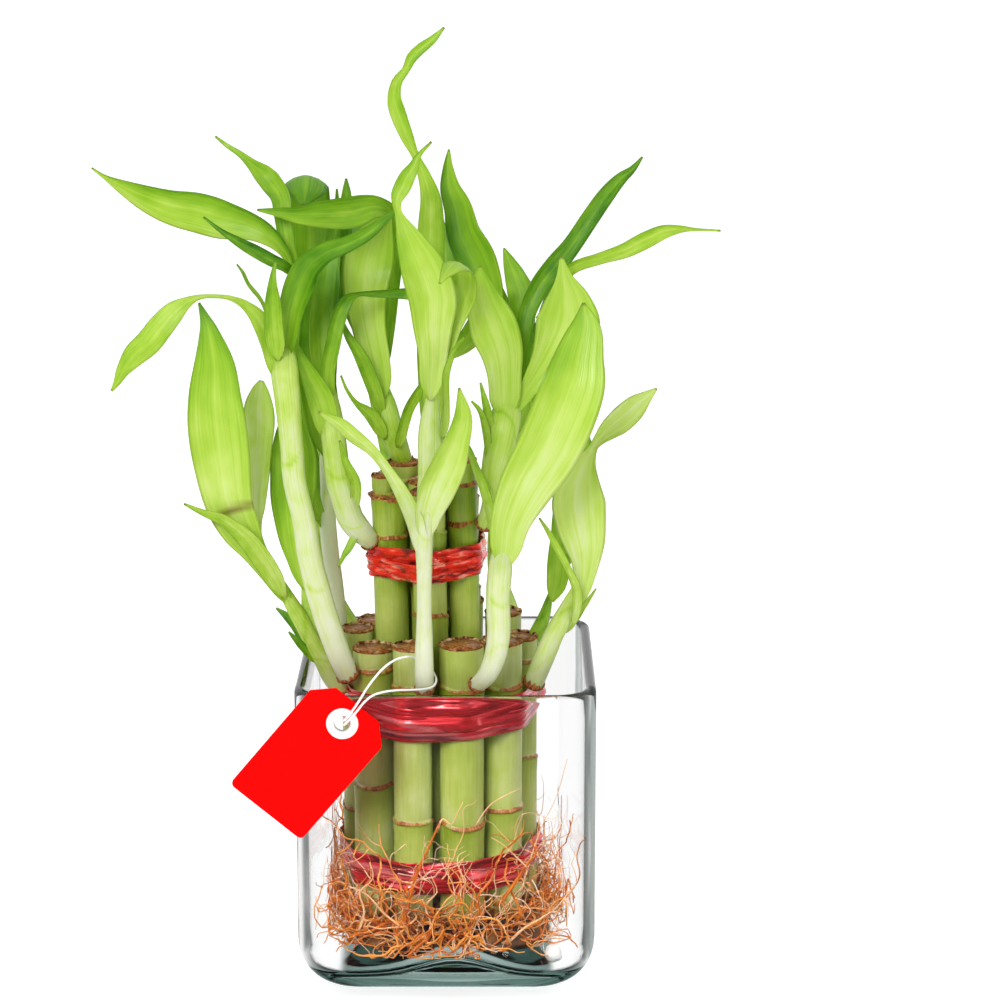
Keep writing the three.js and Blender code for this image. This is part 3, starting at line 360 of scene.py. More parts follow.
def leaf_material():
    """Living green: pale feet, parallel veins, a dark rim, soft gloss and light through it."""
    paint = Paint("leaf")
    lie = paint.lie()
    vein = paint.streaks(lie, (9, 2, 0.12), 3.0, 0.6)
    blotch = paint.streaks(lie, (1.2, 1, 0.5), 2.0)
    shift = paint.add(paint.times(vein, 0.42), paint.times(blotch, 0.44))
    # the tone holds painted shade over one half of each blade, from its lean
    level = paint.add(paint.less(paint.attribute("tone"), 0.43), shift, clamp=True)
    green = paint.ramp(level, [
        (0.0, "f7f9e2"), (0.15, "ebf5b8"), (0.3, "d8ee7a"), (0.45, "bee04a"), (0.6, "a0cf2a"),
        (0.75, "7bb416"), (0.9, "4f930a"), (1.0, "2b6606")])
    across, _, far = paint.parts(lie)
    edge = paint.span(paint.math("ABSOLUTE", across), 0.86, 1.0, 0.0, 0.4)
    edge = paint.times(edge, paint.span(far, 0.8, 2.5))
    colour = paint.mix(edge, green, "6f9a1e")
    colour = paint.mix(paint.times(paint.attribute("scar"), 0.95), colour, "6b3a18")
    rough = paint.span(vein, 0.2, 0.8, 0.26, 0.42)
    paint.set(Base_Color=colour, Roughness=rough, Specular_IOR_Level=0.55)
    fine = paint.streaks(lie, (26, 2, 0.2), 2.0)
    normal = paint.bump(paint.add(vein, fine), 0.25, 0.55)
    glow = {"Color": paint.mix(0.3, colour, "d8f050"), "Normal": normal}
    lit_through = paint.node("ShaderNodeBsdfTranslucent", glow)
    paint.show(0.36, paint.shader.outputs[0], lit_through)
    return paint.material


def cane_material():
    """Ripe cane skin: yellow green with darker lengths, fibres and brown node scars."""
    paint = Paint("cane")
    fibre = paint.streaks(paint.lie(), (7, 7, 0.35), 4.0, 0.6)
    patch = paint.noise(paint.place(), 85.0, 3.0)
    speck = paint.noise(paint.place(), 620.0, 2.0, 0.6)
    uneven = paint.add(paint.times(fibre, 0.3), paint.times(patch, 0.35))
    level = paint.less(paint.add(paint.attribute("tone"), uneven), 0.32, clamp=True)
    green = paint.ramp(level, [
        (0.0, "e4e8ba"), (0.25, "d2da9e"), (0.5, "b2c05c"), (0.75, "88a020"), (1.0, "4a7012")])
    rust = paint.add(paint.attribute("scar"), paint.times(speck, 0.9))
    rust = paint.span(rust, 0.75, 1.15)
    brown = paint.ramp(fibre, [(0.3, "5a2a0e"), (0.5, "a05c24"), (0.75, "d09a5c")])
    spots = paint.span(speck, 0.7, 0.8, 0.0, 0.35)
    colour = paint.mix(rust, paint.mix(spots, green, "6d6a26"), brown)
    paint.set(Base_Color=colour, Roughness=paint.span(patch, 0.3, 0.7, 0.3, 0.45))
    paint.bump(paint.add(fibre, paint.times(rust, 0.8)), 0.3, 0.5)
    return paint.material


def cut_material():
    """The dried woody face of a cut cane: pale fibres, dark pits and a rusty rim."""
    paint = Paint("cane_cut")
    place = paint.place()
    grain = paint.noise(place, 700.0, 4.0, 0.7)
    pits = paint.noise(place, 420.0, 1.0)
    level = paint.add(paint.times(grain, 0.6), paint.times(pits, 0.6))
    wood = paint.ramp(level, [(0.48, "1c0f08"), (0.56, "5e3c22"), (0.63, "a8804f"), (0.8, "e4cca4")])
    rust = paint.ramp(grain, [(0.35, "5c2a10"), (0.55, "a4602c"), (0.7, "d8a468")])
    colour = paint.mix(paint.times(paint.attribute("scar"), 0.75), wood, rust)
    paint.set(Base_Color=colour, Roughness=0.85, Specular_IOR_Level=0.15)
    paint.bump(level, 0.8, 0.8)
    return paint.material


def husk_material():
    """Papery brown husk left round the foot of a shoot."""
    paint = Paint("husk")
    fibre = paint.streaks(paint.lie(), (5, 5, 0.6), 4.0, 0.65)
    colour = paint.ramp(fibre, [(0.3, "4b220c"), (0.5, "96501c"), (0.68, "c98a4a"), (0.85, "e6d3a0")])
    paint.set(Base_Color=colour, Roughness=0.6)
    paint.bump(fibre, 0.5, 0.7)
    return paint.material


def root_material(name, stops):
    """Wet root: colour runs from one to the next along and between strands."""
    paint = Paint(name)
    vary = paint.streaks(paint.lie(), (0.5, 0.5, 0.05), 3.0, 0.6)
    uneven = paint.times(paint.less(vary, 0.5), 0.5)
    level = paint.add(paint.attribute("tone"), uneven, clamp=True)
    paint.set(Base_Color=paint.ramp(level, stops), Roughness=0.4, Specular_IOR_Level=0.5)
    paint.bump(vary, 0.2, 0.6)
    return paint.material


def foil_material(name, grain, reds, metal):
    """Red metallised ribbon: mirror-like, softly creased, with painted maroon shade in its folds.
    Its creases are drawn out by `grain`, and its reds run from dull to bright to a painted glint."""
    paint = Paint(name)
    place = paint.place()
    # patches of dull and bright red, with painted glints where they are highest
    painted_glints = paint.streaks(place, grain, 1.0, scale=60.0)
    fine = paint.streaks(place, grain, 1.0, 0.4, scale=150.0)
    red = paint.ramp(painted_glints, list(zip((0.35, 0.56, 0.66), reds)))
    # painted maroon shade in the folds, carried by the scar attribute
    colour = paint.mix(paint.times(paint.attribute("scar"), 0.85), red, "4a0612")
    paint.set(Base_Color=colour, Metallic=metal, Roughness=paint.span(fine, 0.3, 0.7, 0.18, 0.3),
              Coat_Weight=0.8, Coat_Roughness=0.08)
    paint.bump(fine, 0.6, 0.5)
    return paint.material


GLASS_BEND = 1.5
WATER_BEND = 1.01  # far below 1.33, so that no waterline shows
LAMP_SHARE = (0.98, 0.98, 0.98)  # of the lamps' light, what glass and water let through
NEAR_FACES = 2.5  # a look has crossed more faces of glass than this where it meets the far wall

# Where the vase is tinted, each from where the tint starts to where it is full: x of the two
# corners on each side, how far they lie to the front or back, and the height of the floor. The
# corner tint is painted shade, in a band wider on the right; the floor tint is partly the glass's
# own colour and partly painted shade.
LEFT_SHADE_BAND = (-49.4, -50.2)
RIGHT_SHADE_BAND = (47.4, 48.6)
SHADE_BAND_DEPTH = (37, 40)
THICK_FLOOR = (11, 6)
# The far wall bends nothing above this height, nor this far out at the sides.
CLEAR_HEIGHT = (18, 24)
CLEAR_SIDES = (34, 40)


def make_clear(paint, bend, tint=WHITE, open_share=0.0):
    """Makes glass or water of a paint. Light from lamps passes it, so that what is inside is
    lit, and so does what is looked at where `open_share` is 1."""
    glass = paint.node("ShaderNodeBsdfGlass", {"Color": tint, "IOR": bend, "Roughness": 0.0})
    nothing = paint.node("ShaderNodeBsdfTransparent", {"Color": LAMP_SHARE})
    passed = paint.math("MAXIMUM", open_share, paint.light_path("Is Shadow Ray"))
    paint.show(passed, glass, nothing)
    return paint.material


def vase_material():
    """Clear glass, faintly grey green where one looks along a wall. Its upright corners carry
    painted grey green shade, wider on the right, and its thick floor a grey green tint that is
    partly the glass's own colour and partly painted shade. The far wall, seen through the near
    one, bends nothing, so that it stays bright."""
    paint = Paint("vase_glass")
    place = paint.place()
    x, y, z = paint.parts(place)
    uneven = paint.times(paint.streaks(place, (1, 1, 0.7), 1.0, scale=60.0), 2 * MM)
    # the bands of painted shade at the left and right upright corners
    left = paint.reach(paint.add(x, uneven), *LEFT_SHADE_BAND)
    right = paint.reach(paint.less(x, uneven), *RIGHT_SHADE_BAND)
    near = paint.reach(paint.math("ABSOLUTE", y), *SHADE_BAND_DEPTH)
    corner = paint.times(paint.add(left, right, clamp=True), near)
    # the thick floor, whose tint is partly the glass's own colour and partly painted shade
    base = paint.reach(z, *THICK_FLOOR)
    tint = paint.mix(paint.times(corner, 0.75), WHITE, "87948f")
    tint = paint.mix(paint.times(base, 0.75), tint, "7fa39c")
    beyond = paint.math("GREATER_THAN", paint.light_path("Transmission Depth"), NEAR_FACES)
    beside = paint.reach(paint.math("ABSOLUTE", x), *CLEAR_SIDES)
    off_floor = paint.math("MAXIMUM", paint.reach(z, *CLEAR_HEIGHT), beside)
    murk = paint.node("ShaderNodeVolumeAbsorption", {"Color": "a9c4bb", "Density": 3.5})
    paint.put(paint.output.inputs["Volume"], murk)
    return make_clear(paint, GLASS_BEND, tint, paint.times(beyond, off_floor))


def string_material():
    """Bright white twisted cotton."""
    paint = Paint("string")
    fibre = paint.streaks(paint.lie(), (3, 3, 1.4), scale=2.0)
    paint.set(Base_Color=paint.mix(fibre, "f4f3f0", "ffffff"), Roughness=0.8)
    paint.shader.inputs["Sheen Weight"].default_value = 0.3
    paint.bump(fibre, 0.1, 0.5)
    return paint.material


def eyelet_material():
    """Moulded white plastic with a faint grain."""
    paint = Paint("eyelet")
    grain = paint.noise(paint.place(), 900.0, 2.0)
    paint.set(Base_Color=paint.mix(grain, "f6f7f7", "e9ecec"), Roughness=0.35)
    paint.bump(grain, 0.05, 0.4)
    return paint.material


def card_material():
    """Smooth printed card: bright red, a little deeper towards the low corner."""
    paint = Paint("card")
    place = paint.place()
    fibre = paint.streaks(place, (1, 1, 2), scale=1500.0)
    x, _, _ = paint.parts(place)
    red = paint.mix(paint.reach(x, -30, -70), "ff0000", "e60000")
    red = paint.mix(paint.times(fibre, 0.12), red, "c00000")
    paint.set(Base_Color=red, Roughness=0.7, Specular_IOR_Level=0.05)
    paint.bump(fibre, 0.04, 0.4)
    return paint.material


def pebble_material():
    """Polished white stone."""
    paint = Paint("pebble")
    paint.set(Base_Color="f3f3f0", Roughness=0.15)
    return paint.material


# ---------------------------------------------------------------- table of shoots

Leaf = namedtuple("Leaf", "roll cup tones path carried lean crease", defaults=(False, 0.0, 0.0))
Shoot = namedtuple("Shoot", "slot tones stems leaves")

# A shoot has the tone of its stems at the foot and at the top. Each stem is a list of
# (x, y, z, radius). A leaf has its roll about its own line, how steeply its halves rise, its
# tone at its foot, two fifths along its points and at its tip, from 0, nearly white, to 1, dark
# green, and its path from foot to tip as (x, y, z, half width). Where a leaf turns over, its
# face is carried along its line. Some have a lean, a painted shade that darkens one half and a
# painted highlight that lightens the other, where the others get a slight one at random, and one
# has a dry crease, that share along its points.
SHOOTS = {
    "shoot_front_centre": Shoot("leaf_pale", (-0.08, 0.27), [
        [(-8, -35, 104, 3), (-8, -39, 112, 3.2), (-8, -39, 121, 3), (-8, -34, 132, 2.6),
         (-8, -30, 145, 2.7), (-8, -27, 159, 3.5), (-6, -24, 175, 4.5), (-6, -22, 192, 4.2),
         (-5, -20, 208, 3.6)],
    ], [
        Leaf(20, 25, (0.12, 0.28, 0.42), [
            (-9, -30, 149, 2.5), (-11, -30, 161, 3.5), (-15, -31, 171, 3), (-20, -32, 180, 2),
            (-25, -33, 187, 2), (-31, -33, 192, 2.7), (-36, -32, 196, 2.5), (-43, -30, 200, 0.4)]),
        Leaf(10, 30, (0.14, 0.34, 0.48), [
            (-8, -28, 154, 3), (-7, -29, 164, 5), (-4, -31, 174, 7), (0, -32, 183, 7), (3, -32, 191, 5),
            (5, -31, 199, 3.5), (4, -29, 208, 0.4)]),
        Leaf(50, 20, (0.35, 0.5, 0.6), [
            (-2, -23, 189, 3), (-1, -24, 201, 2), (-1, -25, 211, 2), (1, -26, 218, 1.5),
            (3, -27, 222, 1), (6, -27, 225, 0.4)]),
        Leaf(5, 20, (0.32, 0.5, 0.64), [
            (-6, -20, 202, 4), (-5, -20, 216, 5), (-5, -22, 228, 7), (-5, -25, 238, 8.5),
            (-8, -28, 248, 8), (-12, -28, 257, 5), (-15.5, -26, 265, 1.6), (-16.5, -25.5, 269, 1.6),
            (-16, -25, 272, 2.6), (-14.5, -24, 275, 3), (-13, -24, 278, 2.8), (-11, -23, 281, 2),
            (-9, -22, 285, 0.9), (-5, -20, 289, 0.4)]),
        Leaf(-15, 20, (0.35, 0.5, 0.5), [
            (-3, -18, 212, 3.5), (0, -19, 227, 5.5), (4, -22, 240, 7.5), (5, -27, 248, 6.5),
            (3, -36, 251, 4.5), (0, -44, 249, 2), (-2, -48, 246, 0.4)], carried=True),
    ]),
    "shoot_front_right": Shoot("leaf_green", (-0.02, 0.26), [
        [(9, -34, 105, 2.6), (14, -38, 112, 3.4), (17, -38, 123, 4), (17, -33, 136, 4.2),
         (18, -28, 148, 4.5), (20, -26, 157, 4.5)],
    ], [
        # its lean paints a highlight on the right half and shade on the left
        Leaf(0, 18, (0.34, 0.36, 0.62), lean=-0.08, path=[
            (19, -28, 145, 4.5), (21, -28, 161, 7), (26, -30, 174, 9.5), (33, -33, 187, 11),
            (38, -35, 199, 11.5), (42, -34, 210, 11), (44, -31, 219, 8.6), (46, -28, 228, 5.6),
            (45.5, -25, 236, 0.5)]),
        Leaf(30, 20, (0.3, 0.45, 0.55), [
            (17, -27, 145, 1.5), (15, -25, 160, 2), (12, -24, 172, 2), (9, -24, 180, 1.5),
            (7, -24, 186, 1), (5, -24, 189, 0.4)]),
    ]),
    "shoot_right": Shoot("leaf_pale", (0.1, 0.32), [
        [(29, -16, 100, 3.2), (32, -18, 109, 3.6), (36, -16, 118, 3.5), (40.5, -13, 126, 3.3),
         (43.5, -11, 134, 2.7)],
    ], [
        Leaf(10, 15, (0.3, 0.32, 0.3), [
            (43, -13, 126, 2.5), (46, -11, 134, 3.2), (47, -10, 143, 5.2), (46.5, -10, 150, 7.5),
            (45, -10, 158, 9.3), (44.3, -9, 166, 9.6), (46, -7, 175, 5.5), (49, -5, 181, 2),
            (51, -3, 184, 2), (55, -1, 188, 4), (59, 1, 191, 5), (64, 3, 195, 4.5), (68, 5, 198, 2.5),
            (72, 6, 201, 0.4)]),
        Leaf(20, 30, (0.3, 0.45, 0.5), [
            (43, -14, 121, 2), (44, -15, 133, 2), (41, -17, 142, 1.5), (37, -18, 150, 1.5),
            (34, -19, 156, 1), (31, -20, 161, 0.4)]),
        Leaf(30, 20, (0.3, 0.45, 0.5), [
            (40, -12, 118, 1.5), (45, -10, 125, 1.5), (51, -8, 133, 0.4)]),
    ]),
    "shoot_right_rear": Shoot("leaf_dark", (0.55, 0.7), [
        [(28, 4, 109, 2.4), (33, 6, 118, 2.6), (36, 8, 128, 2.5)],
    ], [
        Leaf(10, 25, (0.5, 0.6, 0.7), [
            (36, 7, 124, 2.8), (37.5, 8, 132, 4.2), (38, 9, 140, 4.4), (38, 10, 147, 3.2),
            (37, 10, 152, 1.5), (36.5, 10, 156, 0.4)]),
        Leaf(20, 20, (0.45, 0.55, 0.65), [
            (36, 8, 127, 2.5), (39, 14, 139, 4.5), (42, 22, 152, 6.5), (44, 32, 162, 7),
            (46, 42, 171, 5.5), (46, 52, 180, 2.5), (46, 58, 188, 0.4)]),
    ]),
    "shoot_left_pale": Shoot("leaf_pale", (0.02, 0.36), [
        [(-34, -24, 105, 3.4), (-38, -26, 116, 4), (-43, -26, 132, 4.2), (-47, -25, 148, 4.2),
         (-49, -24, 161, 4), (-52, -23, 175, 4), (-53, -22, 189, 4.2), (-54, -21, 202, 4.6),
         (-55, -20, 213, 5), (-55, -19, 221, 5)],
    ], [
        Leaf(15, 15, (0.5, 0.45, 0.55), [
            (-57, -20, 208, 3), (-59, -21, 220, 3.6), (-62.5, -22, 229, 3.2), (-67, -23, 234.5, 1.8),
            (-72, -25, 237.5, 0.9), (-77, -27, 238.5, 0.7), (-82, -29, 238.5, 0.9), (-86, -31, 237, 2),
            (-90, -32, 234, 3.8), (-94.5, -33, 229, 4.5), (-98.5, -33, 224, 4.5),
            (-103.5, -32, 219.5, 4), (-107.5, -31, 214.5, 2.5), (-110, -30, 210, 1.3),
            (-112, -30, 207, 0.4)]),
        Leaf(60, 10, (0.5, 0.6, 0.7), [
            (-58, -16, 218, 1.5), (-62, -14, 233, 1), (-67, -13, 240, 1), (-69, -12, 244, 0.8),
            (-71, -12, 247, 0.4)]),
        Leaf(0, 25, (0.5, 0.65, 0.7), [
            (-57, -22, 216, 3.5), (-58, -23, 228, 3.5), (-58, -24, 236, 3), (-58, -24, 243, 1.5),
            (-57, -24, 250, 0.4)]),
        Leaf(-10, 30, (0.6, 0.82, 0.8), [
            (-55, -17, 214, 3), (-53, -16, 227, 4.3), (-51.5, -16, 234, 5.2), (-49, -16, 241, 5.8),
            (-46, -17, 247, 5.4), (-40, -19, 252, 4), (-33, -21, 255, 3.2), (-26, -23, 259, 2.6),
            (-20, -24, 264, 1.5), (-16, -24, 267, 0.4)]),
        # its lean paints shade on its upper half
        Leaf(-10, 30, (0.75, 0.6, 0.54), lean=0.2, path=[
            (-54, -14, 216, 2.5), (-52, -8, 238, 1.8), (-53, -7, 246, 1.5), (-56, -7, 252, 2.5),
            (-61, -7, 257, 4.5), (-67, -6, 260, 6), (-75, -4, 262, 7.8), (-84, -1, 264, 8),
            (-93, 3, 265, 7.2), (-102, 8, 267, 5.5), (-111, 13, 270, 3), (-118, 16, 273, 1),
            (-123, 18, 276, 0.4)]),
        Leaf(10, 30, (0.75, 0.85, 0.85), [
            (-54, -15, 218, 2), (-52, -12, 241, 1.5), (-54, -14, 246, 2), (-59, -16, 249, 2.5),
            (-64, -17, 252, 2.5), (-69, -18, 255, 2), (-75, -19, 259, 1), (-81, -20, 264, 0.4)]),
        Leaf(10, 20, (0.7, 0.65, 0.6), [
            (-54, -14, 216, 2), (-52, -6, 240, 2.2), (-54.5, -4, 252, 2.8), (-56, -2, 262, 3.2),
            (-57, 1, 268, 3.6), (-60, 5, 272, 4), (-63, 7, 275, 3.5), (-67, 10, 278, 2),
            (-71, 13, 281, 1.2), (-76, 15, 284, 0.8), (-80, 16, 287, 0.4)]),
    ]),
    "shoot_left_low": Shoot("leaf_green", (0.16, 0.5), [
        [(-37.5, -13, 97, 2.6), (-41, -15, 103, 3), (-43.5, -16, 109.5, 3.2), (-47, -17, 116, 3.1),
         (-51, -17, 124, 3), (-55.5, -18, 132, 3.1), (-59, -19, 140, 3.2)],
        [(-37.5, -11, 97, 2.8), (-41, -12.5, 104, 3.1), (-44.5, -14, 111, 3.2), (-47.4, -14, 118, 3.4),
         (-49, -13, 129, 3), (-50.8, -12, 137, 2.8)],
    ], [
        Leaf(0, 12, (0.58, 0.35, 0.84), crease=0.335, path=[
            (-54, -17, 129, 2.5), (-60, -18, 139, 3.2), (-66, -20, 149, 4.5), (-70.5, -23, 158, 7),
            (-74, -27, 169, 8.4), (-75.5, -31, 184, 9.8), (-76.5, -33, 196, 10), (-77, -34, 206, 9),
            (-77, -34, 217, 7), (-78.5, -33, 227, 3.6), (-80, -32, 232, 1.8), (-82, -31, 237, 0.4)]),
        Leaf(10, 15, (0.4, 0.45, 0.55), [
            (-56, -18, 132, 2.5), (-61.5, -20, 143, 3.5), (-68, -24, 154, 3.4), (-75, -29, 162, 2.2),
            (-82, -33, 166, 1.2), (-88, -37, 170, 0.4)]),
        Leaf(10, 15, (0.22, 0.25, 0.33), [
            (-65, -20, 149, 2.2), (-66.5, -18, 158, 2.8), (-66, -17, 165, 3.6), (-65.5, -16, 174, 4.4),
            (-65, -15, 184, 5), (-64.5, -14, 193, 5.6), (-64.5, -13, 199, 5), (-64, -12, 204, 3),
            (-63.5, -11, 207, 0.8)]),
        Leaf(0, 20, (0.45, 0.6, 0.6), [
            (-50, -12.5, 134, 2.8), (-52, -12, 143, 3.4), (-53.2, -11, 152, 5.6), (-53.6, -9, 164, 7.8),
            (-53.2, -8, 173, 8.5), (-53.2, -7, 181, 8.2), (-53.4, -7, 189, 6), (-53, -7, 198, 2.2),
            (-53, -7, 203, 0.4)]),
        Leaf(15, 25, (0.6, 0.78, 0.85), [
            (-47, -15, 110, 2.5), (-52, -12, 119, 2.3), (-56, -11, 123.5, 1.6), (-60, -10, 126.5, 0.4)]),
        Leaf(30, 20, (0.6, 0.78, 0.85), [
            (-46, -17, 109, 1.5), (-51, -20, 116, 1.5), (-55, -21, 121, 0.4)]),
    ]),
    "shoot_left_rear": Shoot("leaf_dark", (-0.25, 0.1), [
        [(-38, 5, 110, 2.4), (-40, 6, 129, 2.6), (-42, 7, 143, 3), (-43, 8, 157, 3), (-43, 9, 170, 3),
         (-44, 11, 182, 3)],
    ], [
        Leaf(15, 25, (0.5, 0.65, 0.7), [
            (-43, 7, 149, 2), (-47, 5, 160, 2.5), (-48, 4, 169, 3), (-49, 4, 178, 3.5), (-51, 4, 187, 2),
            (-52, 4, 195, 0.4)]),
        Leaf(10, 25, (0.5, 0.72, 0.78), [
            (-44, 11, 176, 3), (-47, 13, 192, 4.5), (-48, 15, 206, 5.5), (-47, 17, 220, 6),
            (-46, 19, 232, 5), (-43, 21, 243, 3.5), (-40, 23, 252, 2.5), (-39, 24, 259, 1.5),
            (-39, 24, 268, 0.4)]),
        Leaf(0, 24, (0.6, 0.66, 0.84), [
            (-44, 12, 176, 3), (-47, 20, 195, 4.5), (-48.5, 26, 215, 6.5), (-49, 30, 236, 8),
            (-49, 31, 252, 8.6), (-49, 28, 264, 8.6), (-49, 21, 271.5, 8.6), (-49, 13, 273.5, 8.4),
            (-49, 7, 270, 7), (-49, 3, 265, 1)], carried=True),
        Leaf(10, 25, (0.6, 0.78, 0.8), [
            (-43, 11, 178, 2), (-42, 17, 199, 2.2), (-41, 21, 214, 2.4), (-38, 25, 236, 2.8),
            (-36.5, 28, 256, 2.6), (-36, 28, 265, 2), (-36, 29, 271, 0.4)]),
    ]),
    "shoot_inner_left": Shoot("leaf_green", (0.04, 0.42), [
        [(-27, -5, 149, 3), (-30, -8, 153, 4), (-33.6, -9, 158, 4.5), (-36, -8.5, 165, 4.6),
         (-38, -8, 173, 4.6), (-39.5, -6, 185, 4.5), (-41, -4, 197, 4.4), (-42, -3, 208, 3.8)],
    ], [
        Leaf(0, 20, (0.45, 0.6, 0.65), [
            (-41, -6, 185, 3.5), (-43, -8, 198, 5), (-47, -9, 208, 3.5), (-50, -9, 215, 1.6),
            (-52, -9, 221, 0.4)]),
        Leaf(20, 30, (0.55, 0.8, 0.8), [
            (-41, -4, 197, 3), (-42, -4, 208, 3.2), (-40, -4, 218, 3.2), (-38, -3, 227, 3.2),
            (-35, -2, 233, 2.6), (-31, 0, 235, 1), (-26, 2, 235, 1.5), (-20, 3, 235, 2),
            (-14, 3.5, 235, 2.5), (-9.5, 2.5, 234, 1.8), (-5, 0.5, 232, 0.4)]),
        Leaf(5, 25, (0.55, 0.75, 0.78), [
            (-42, -3, 203, 4), (-43, 0, 216, 5.5), (-43, 3, 227, 5.5), (-42, 6, 237, 5),
            (-41, 8, 245, 4), (-39, 11, 254, 2.5), (-37, 13, 262, 0.4)]),
        Leaf(20, 20, (0.4, 0.5, 0.6), [
            (-33, -10, 160, 2), (-32, -12, 171, 2), (-35, -14, 179, 1.5), (-37, -15, 187, 0.4)]),
        Leaf(30, 10, (0.5, 0.6, 0.6), [
            (-31, -10, 155, 1.5), (-34, -12, 149, 1.5), (-36, -13, 146, 1), (-38, -13, 142, 0.4)]),
    ]),
    "shoot_upper_left": Shoot("leaf_green", (0.45, 0.42), [
        [(-15.6, 13, 172, 3), (-18.4, 11.4, 179.5, 3.9), (-21, 10, 187, 4.4), (-23, 10, 196, 4.5),
         (-25, 11, 206, 4.2)],
    ], [
        Leaf(0, 15, (0.4, 0.43, 0.52), [
            (-23, 10, 196, 4), (-25.5, 12, 210, 5.2), (-28, 14, 222, 6.2), (-29, 16, 234, 8),
            (-28, 18, 243, 9.2), (-25.5, 18, 252, 7.2), (-22, 16, 260, 3), (-20, 14, 264, 0.6)]),
        Leaf(0, 25, (0.62, 0.66, 0.7), [
            (-24, 13, 203, 2.5), (-22, 22, 218, 3), (-20, 26, 235, 3), (-18, 23, 250, 3),
            (-19, 16, 260, 2.5), (-25, 8, 264, 4), (-33, 2, 263, 6), (-41, -3, 263, 5.5),
            (-50, -6, 263, 3.5), (-56, -8, 264, 2), (-64, -9, 265, 0.4)]),
        Leaf(30, 20, (0.5, 0.65, 0.7), [
            (-23, 8, 190, 2.5), (-27, 5, 203, 3), (-31, 4, 213, 2.5), (-35, 4, 220, 1.5),
            (-37, 4, 226, 0.4)]),
        Leaf(20, 20, (0.5, 0.6, 0.65), [
            (-18, 6, 180, 2.5), (-16, 2, 188, 2), (-14, -1, 195, 2), (-11, -5, 201, 2),
            (-9, -8, 206, 0.4)]),
        Leaf(20, 20, (0.5, 0.6, 0.65), [
            (-22, 6, 183, 2.5), (-27, 2, 192, 2.5), (-32, 0, 197, 1), (-35, -2, 202, 0.6),
            (-37, -2, 207, 0.4)]),
    ]),
    "shoot_inner_right": Shoot("leaf_green", (0.28, 0.38), [
        [(12, -9, 155, 2.8), (15, -12, 165, 3.4), (16, -12, 176, 4.8), (18, -10, 186, 5.5),
         (20, -8, 196, 5.8), (20, -7, 205, 5)],
    ], [
        Leaf(10, 15, (0.34, 0.42, 0.54), [
            (19, -8, 193, 5.5), (19, -9, 207, 6), (18, -10, 217, 7.5), (15, -12, 226, 8.5),
            (12, -14, 235, 6.5), (11, -15, 242, 3.5), (11, -16, 247, 0.5)]),
        Leaf(-10, 30, (0.65, 0.84, 0.8), [
            (24, -5, 197, 2.5), (26, -1, 216, 3), (27, 2, 227, 3.5), (31, 5, 236, 4),
            (36.5, 8, 243, 4.3), (42.5, 11, 250, 3.8), (48.5, 14, 258.5, 3.7), (54, 17, 266, 3.4),
            (59, 20, 271.5, 2.5), (63.5, 22, 275, 1.4), (67, 24, 279, 0.4)]),
        Leaf(5, 12, (0.48, 0.42, 0.46), [
            (22, -7, 194, 2.5), (27, -7, 203, 3.2), (33, -6.5, 212, 5.8), (38, -6, 220, 10),
            (40.5, -5, 226, 11.4), (40.5, -4, 234, 8), (39.5, -3, 241, 3.2), (38.5, -2, 248, 0.5)]),
        Leaf(20, 20, (0.65, 0.5, 0.5), [
            (24, -4, 200, 2), (31, 4, 222, 2.5), (36, 6, 235, 2.5), (42, 6, 243, 2.5), (52, 4, 247, 2.5),
            (60, 2, 250, 3), (67, 0, 254, 3.5), (73, -2, 257, 3), (79, -4, 258, 1.5), (84, -6, 258, 0.6),
            (92, -9, 258, 0.4)]),
        Leaf(20, 20, (0.45, 0.55, 0.6), [
            (15, -12, 188, 1.5), (13, -14, 198, 1.5), (11, -15, 207, 0.4)]),
        Leaf(20, 20, (0.4, 0.5, 0.6), [
            (14, -13, 178, 1.5), (13, -15, 189, 1.5), (11, -16, 197, 1), (8, -17, 201, 0.4)]),
        Leaf(40, 20, (0.45, 0.55, 0.6), [
            (23, -8, 185, 1.5), (28, -5, 194, 1), (28, -4, 199, 1), (27, -3, 204, 0.4)]),
        Leaf(5, 20, (0.5, 0.64, 0.66), [
            (22, -3, 201, 2.5), (25, 4, 218, 4), (25, 8, 232, 5), (23, 10, 239, 4), (21, 11, 244, 2.5),
            (19, 12, 249, 0.4)]),
    ]),
    "shoot_centre": Shoot("leaf_dark", (0.35, 0.5), [
        [(-5, 2, 171, 2.4), (-4, 6, 183, 2.6), (-3, 9, 196, 2.6), (-2, 11, 210, 2.6), (-2, 11, 218, 2.4)],
    ], [
        Leaf(5, 25, (0.5, 0.5, 0.6), [
            (-2, 11, 212, 2.5), (-4, 9, 232, 4), (-6, 6, 245, 5), (-6, 4, 257, 5), (-6, 3, 267, 4),
            (-8, 2, 275, 2.5), (-11, 2, 282, 1.5), (-14, 1, 289, 2.5), (-17, 1, 297, 3),
            (-18, 1, 302, 2.5), (-17, 1, 307, 2), (-14, 1, 311, 1.5), (-12, 1, 315, 2), (-9, 1, 318, 2),
            (-5, 1, 321, 1.5), (-1, 1, 325, 0.4)]),
        # its lean paints shade on one half and a highlight on the other
        Leaf(15, 30, (0.55, 0.74, 0.68), lean=-0.16, path=[
            (-1, 12, 210, 3), (8, 14, 220, 5), (13, 15, 230, 6), (9.2, 16, 243, 7.8), (4.4, 17, 253, 7),
            (2.5, 18, 262, 5.8), (0, 19, 269, 4.1), (-0.5, 20, 276, 2.1), (0, 21, 282, 0.4)]),
    ]),
    "shoot_back_left": Shoot("leaf_dark", (0.3, 0.5), [
        [(-32, 23, 102, 3.2), (-36, 27, 109, 3.4), (-42.5, 31, 119, 3.6), (-46, 34, 134, 3.8),
         (-46, 36, 160, 4), (-45, 38, 186, 4)],
    ], [
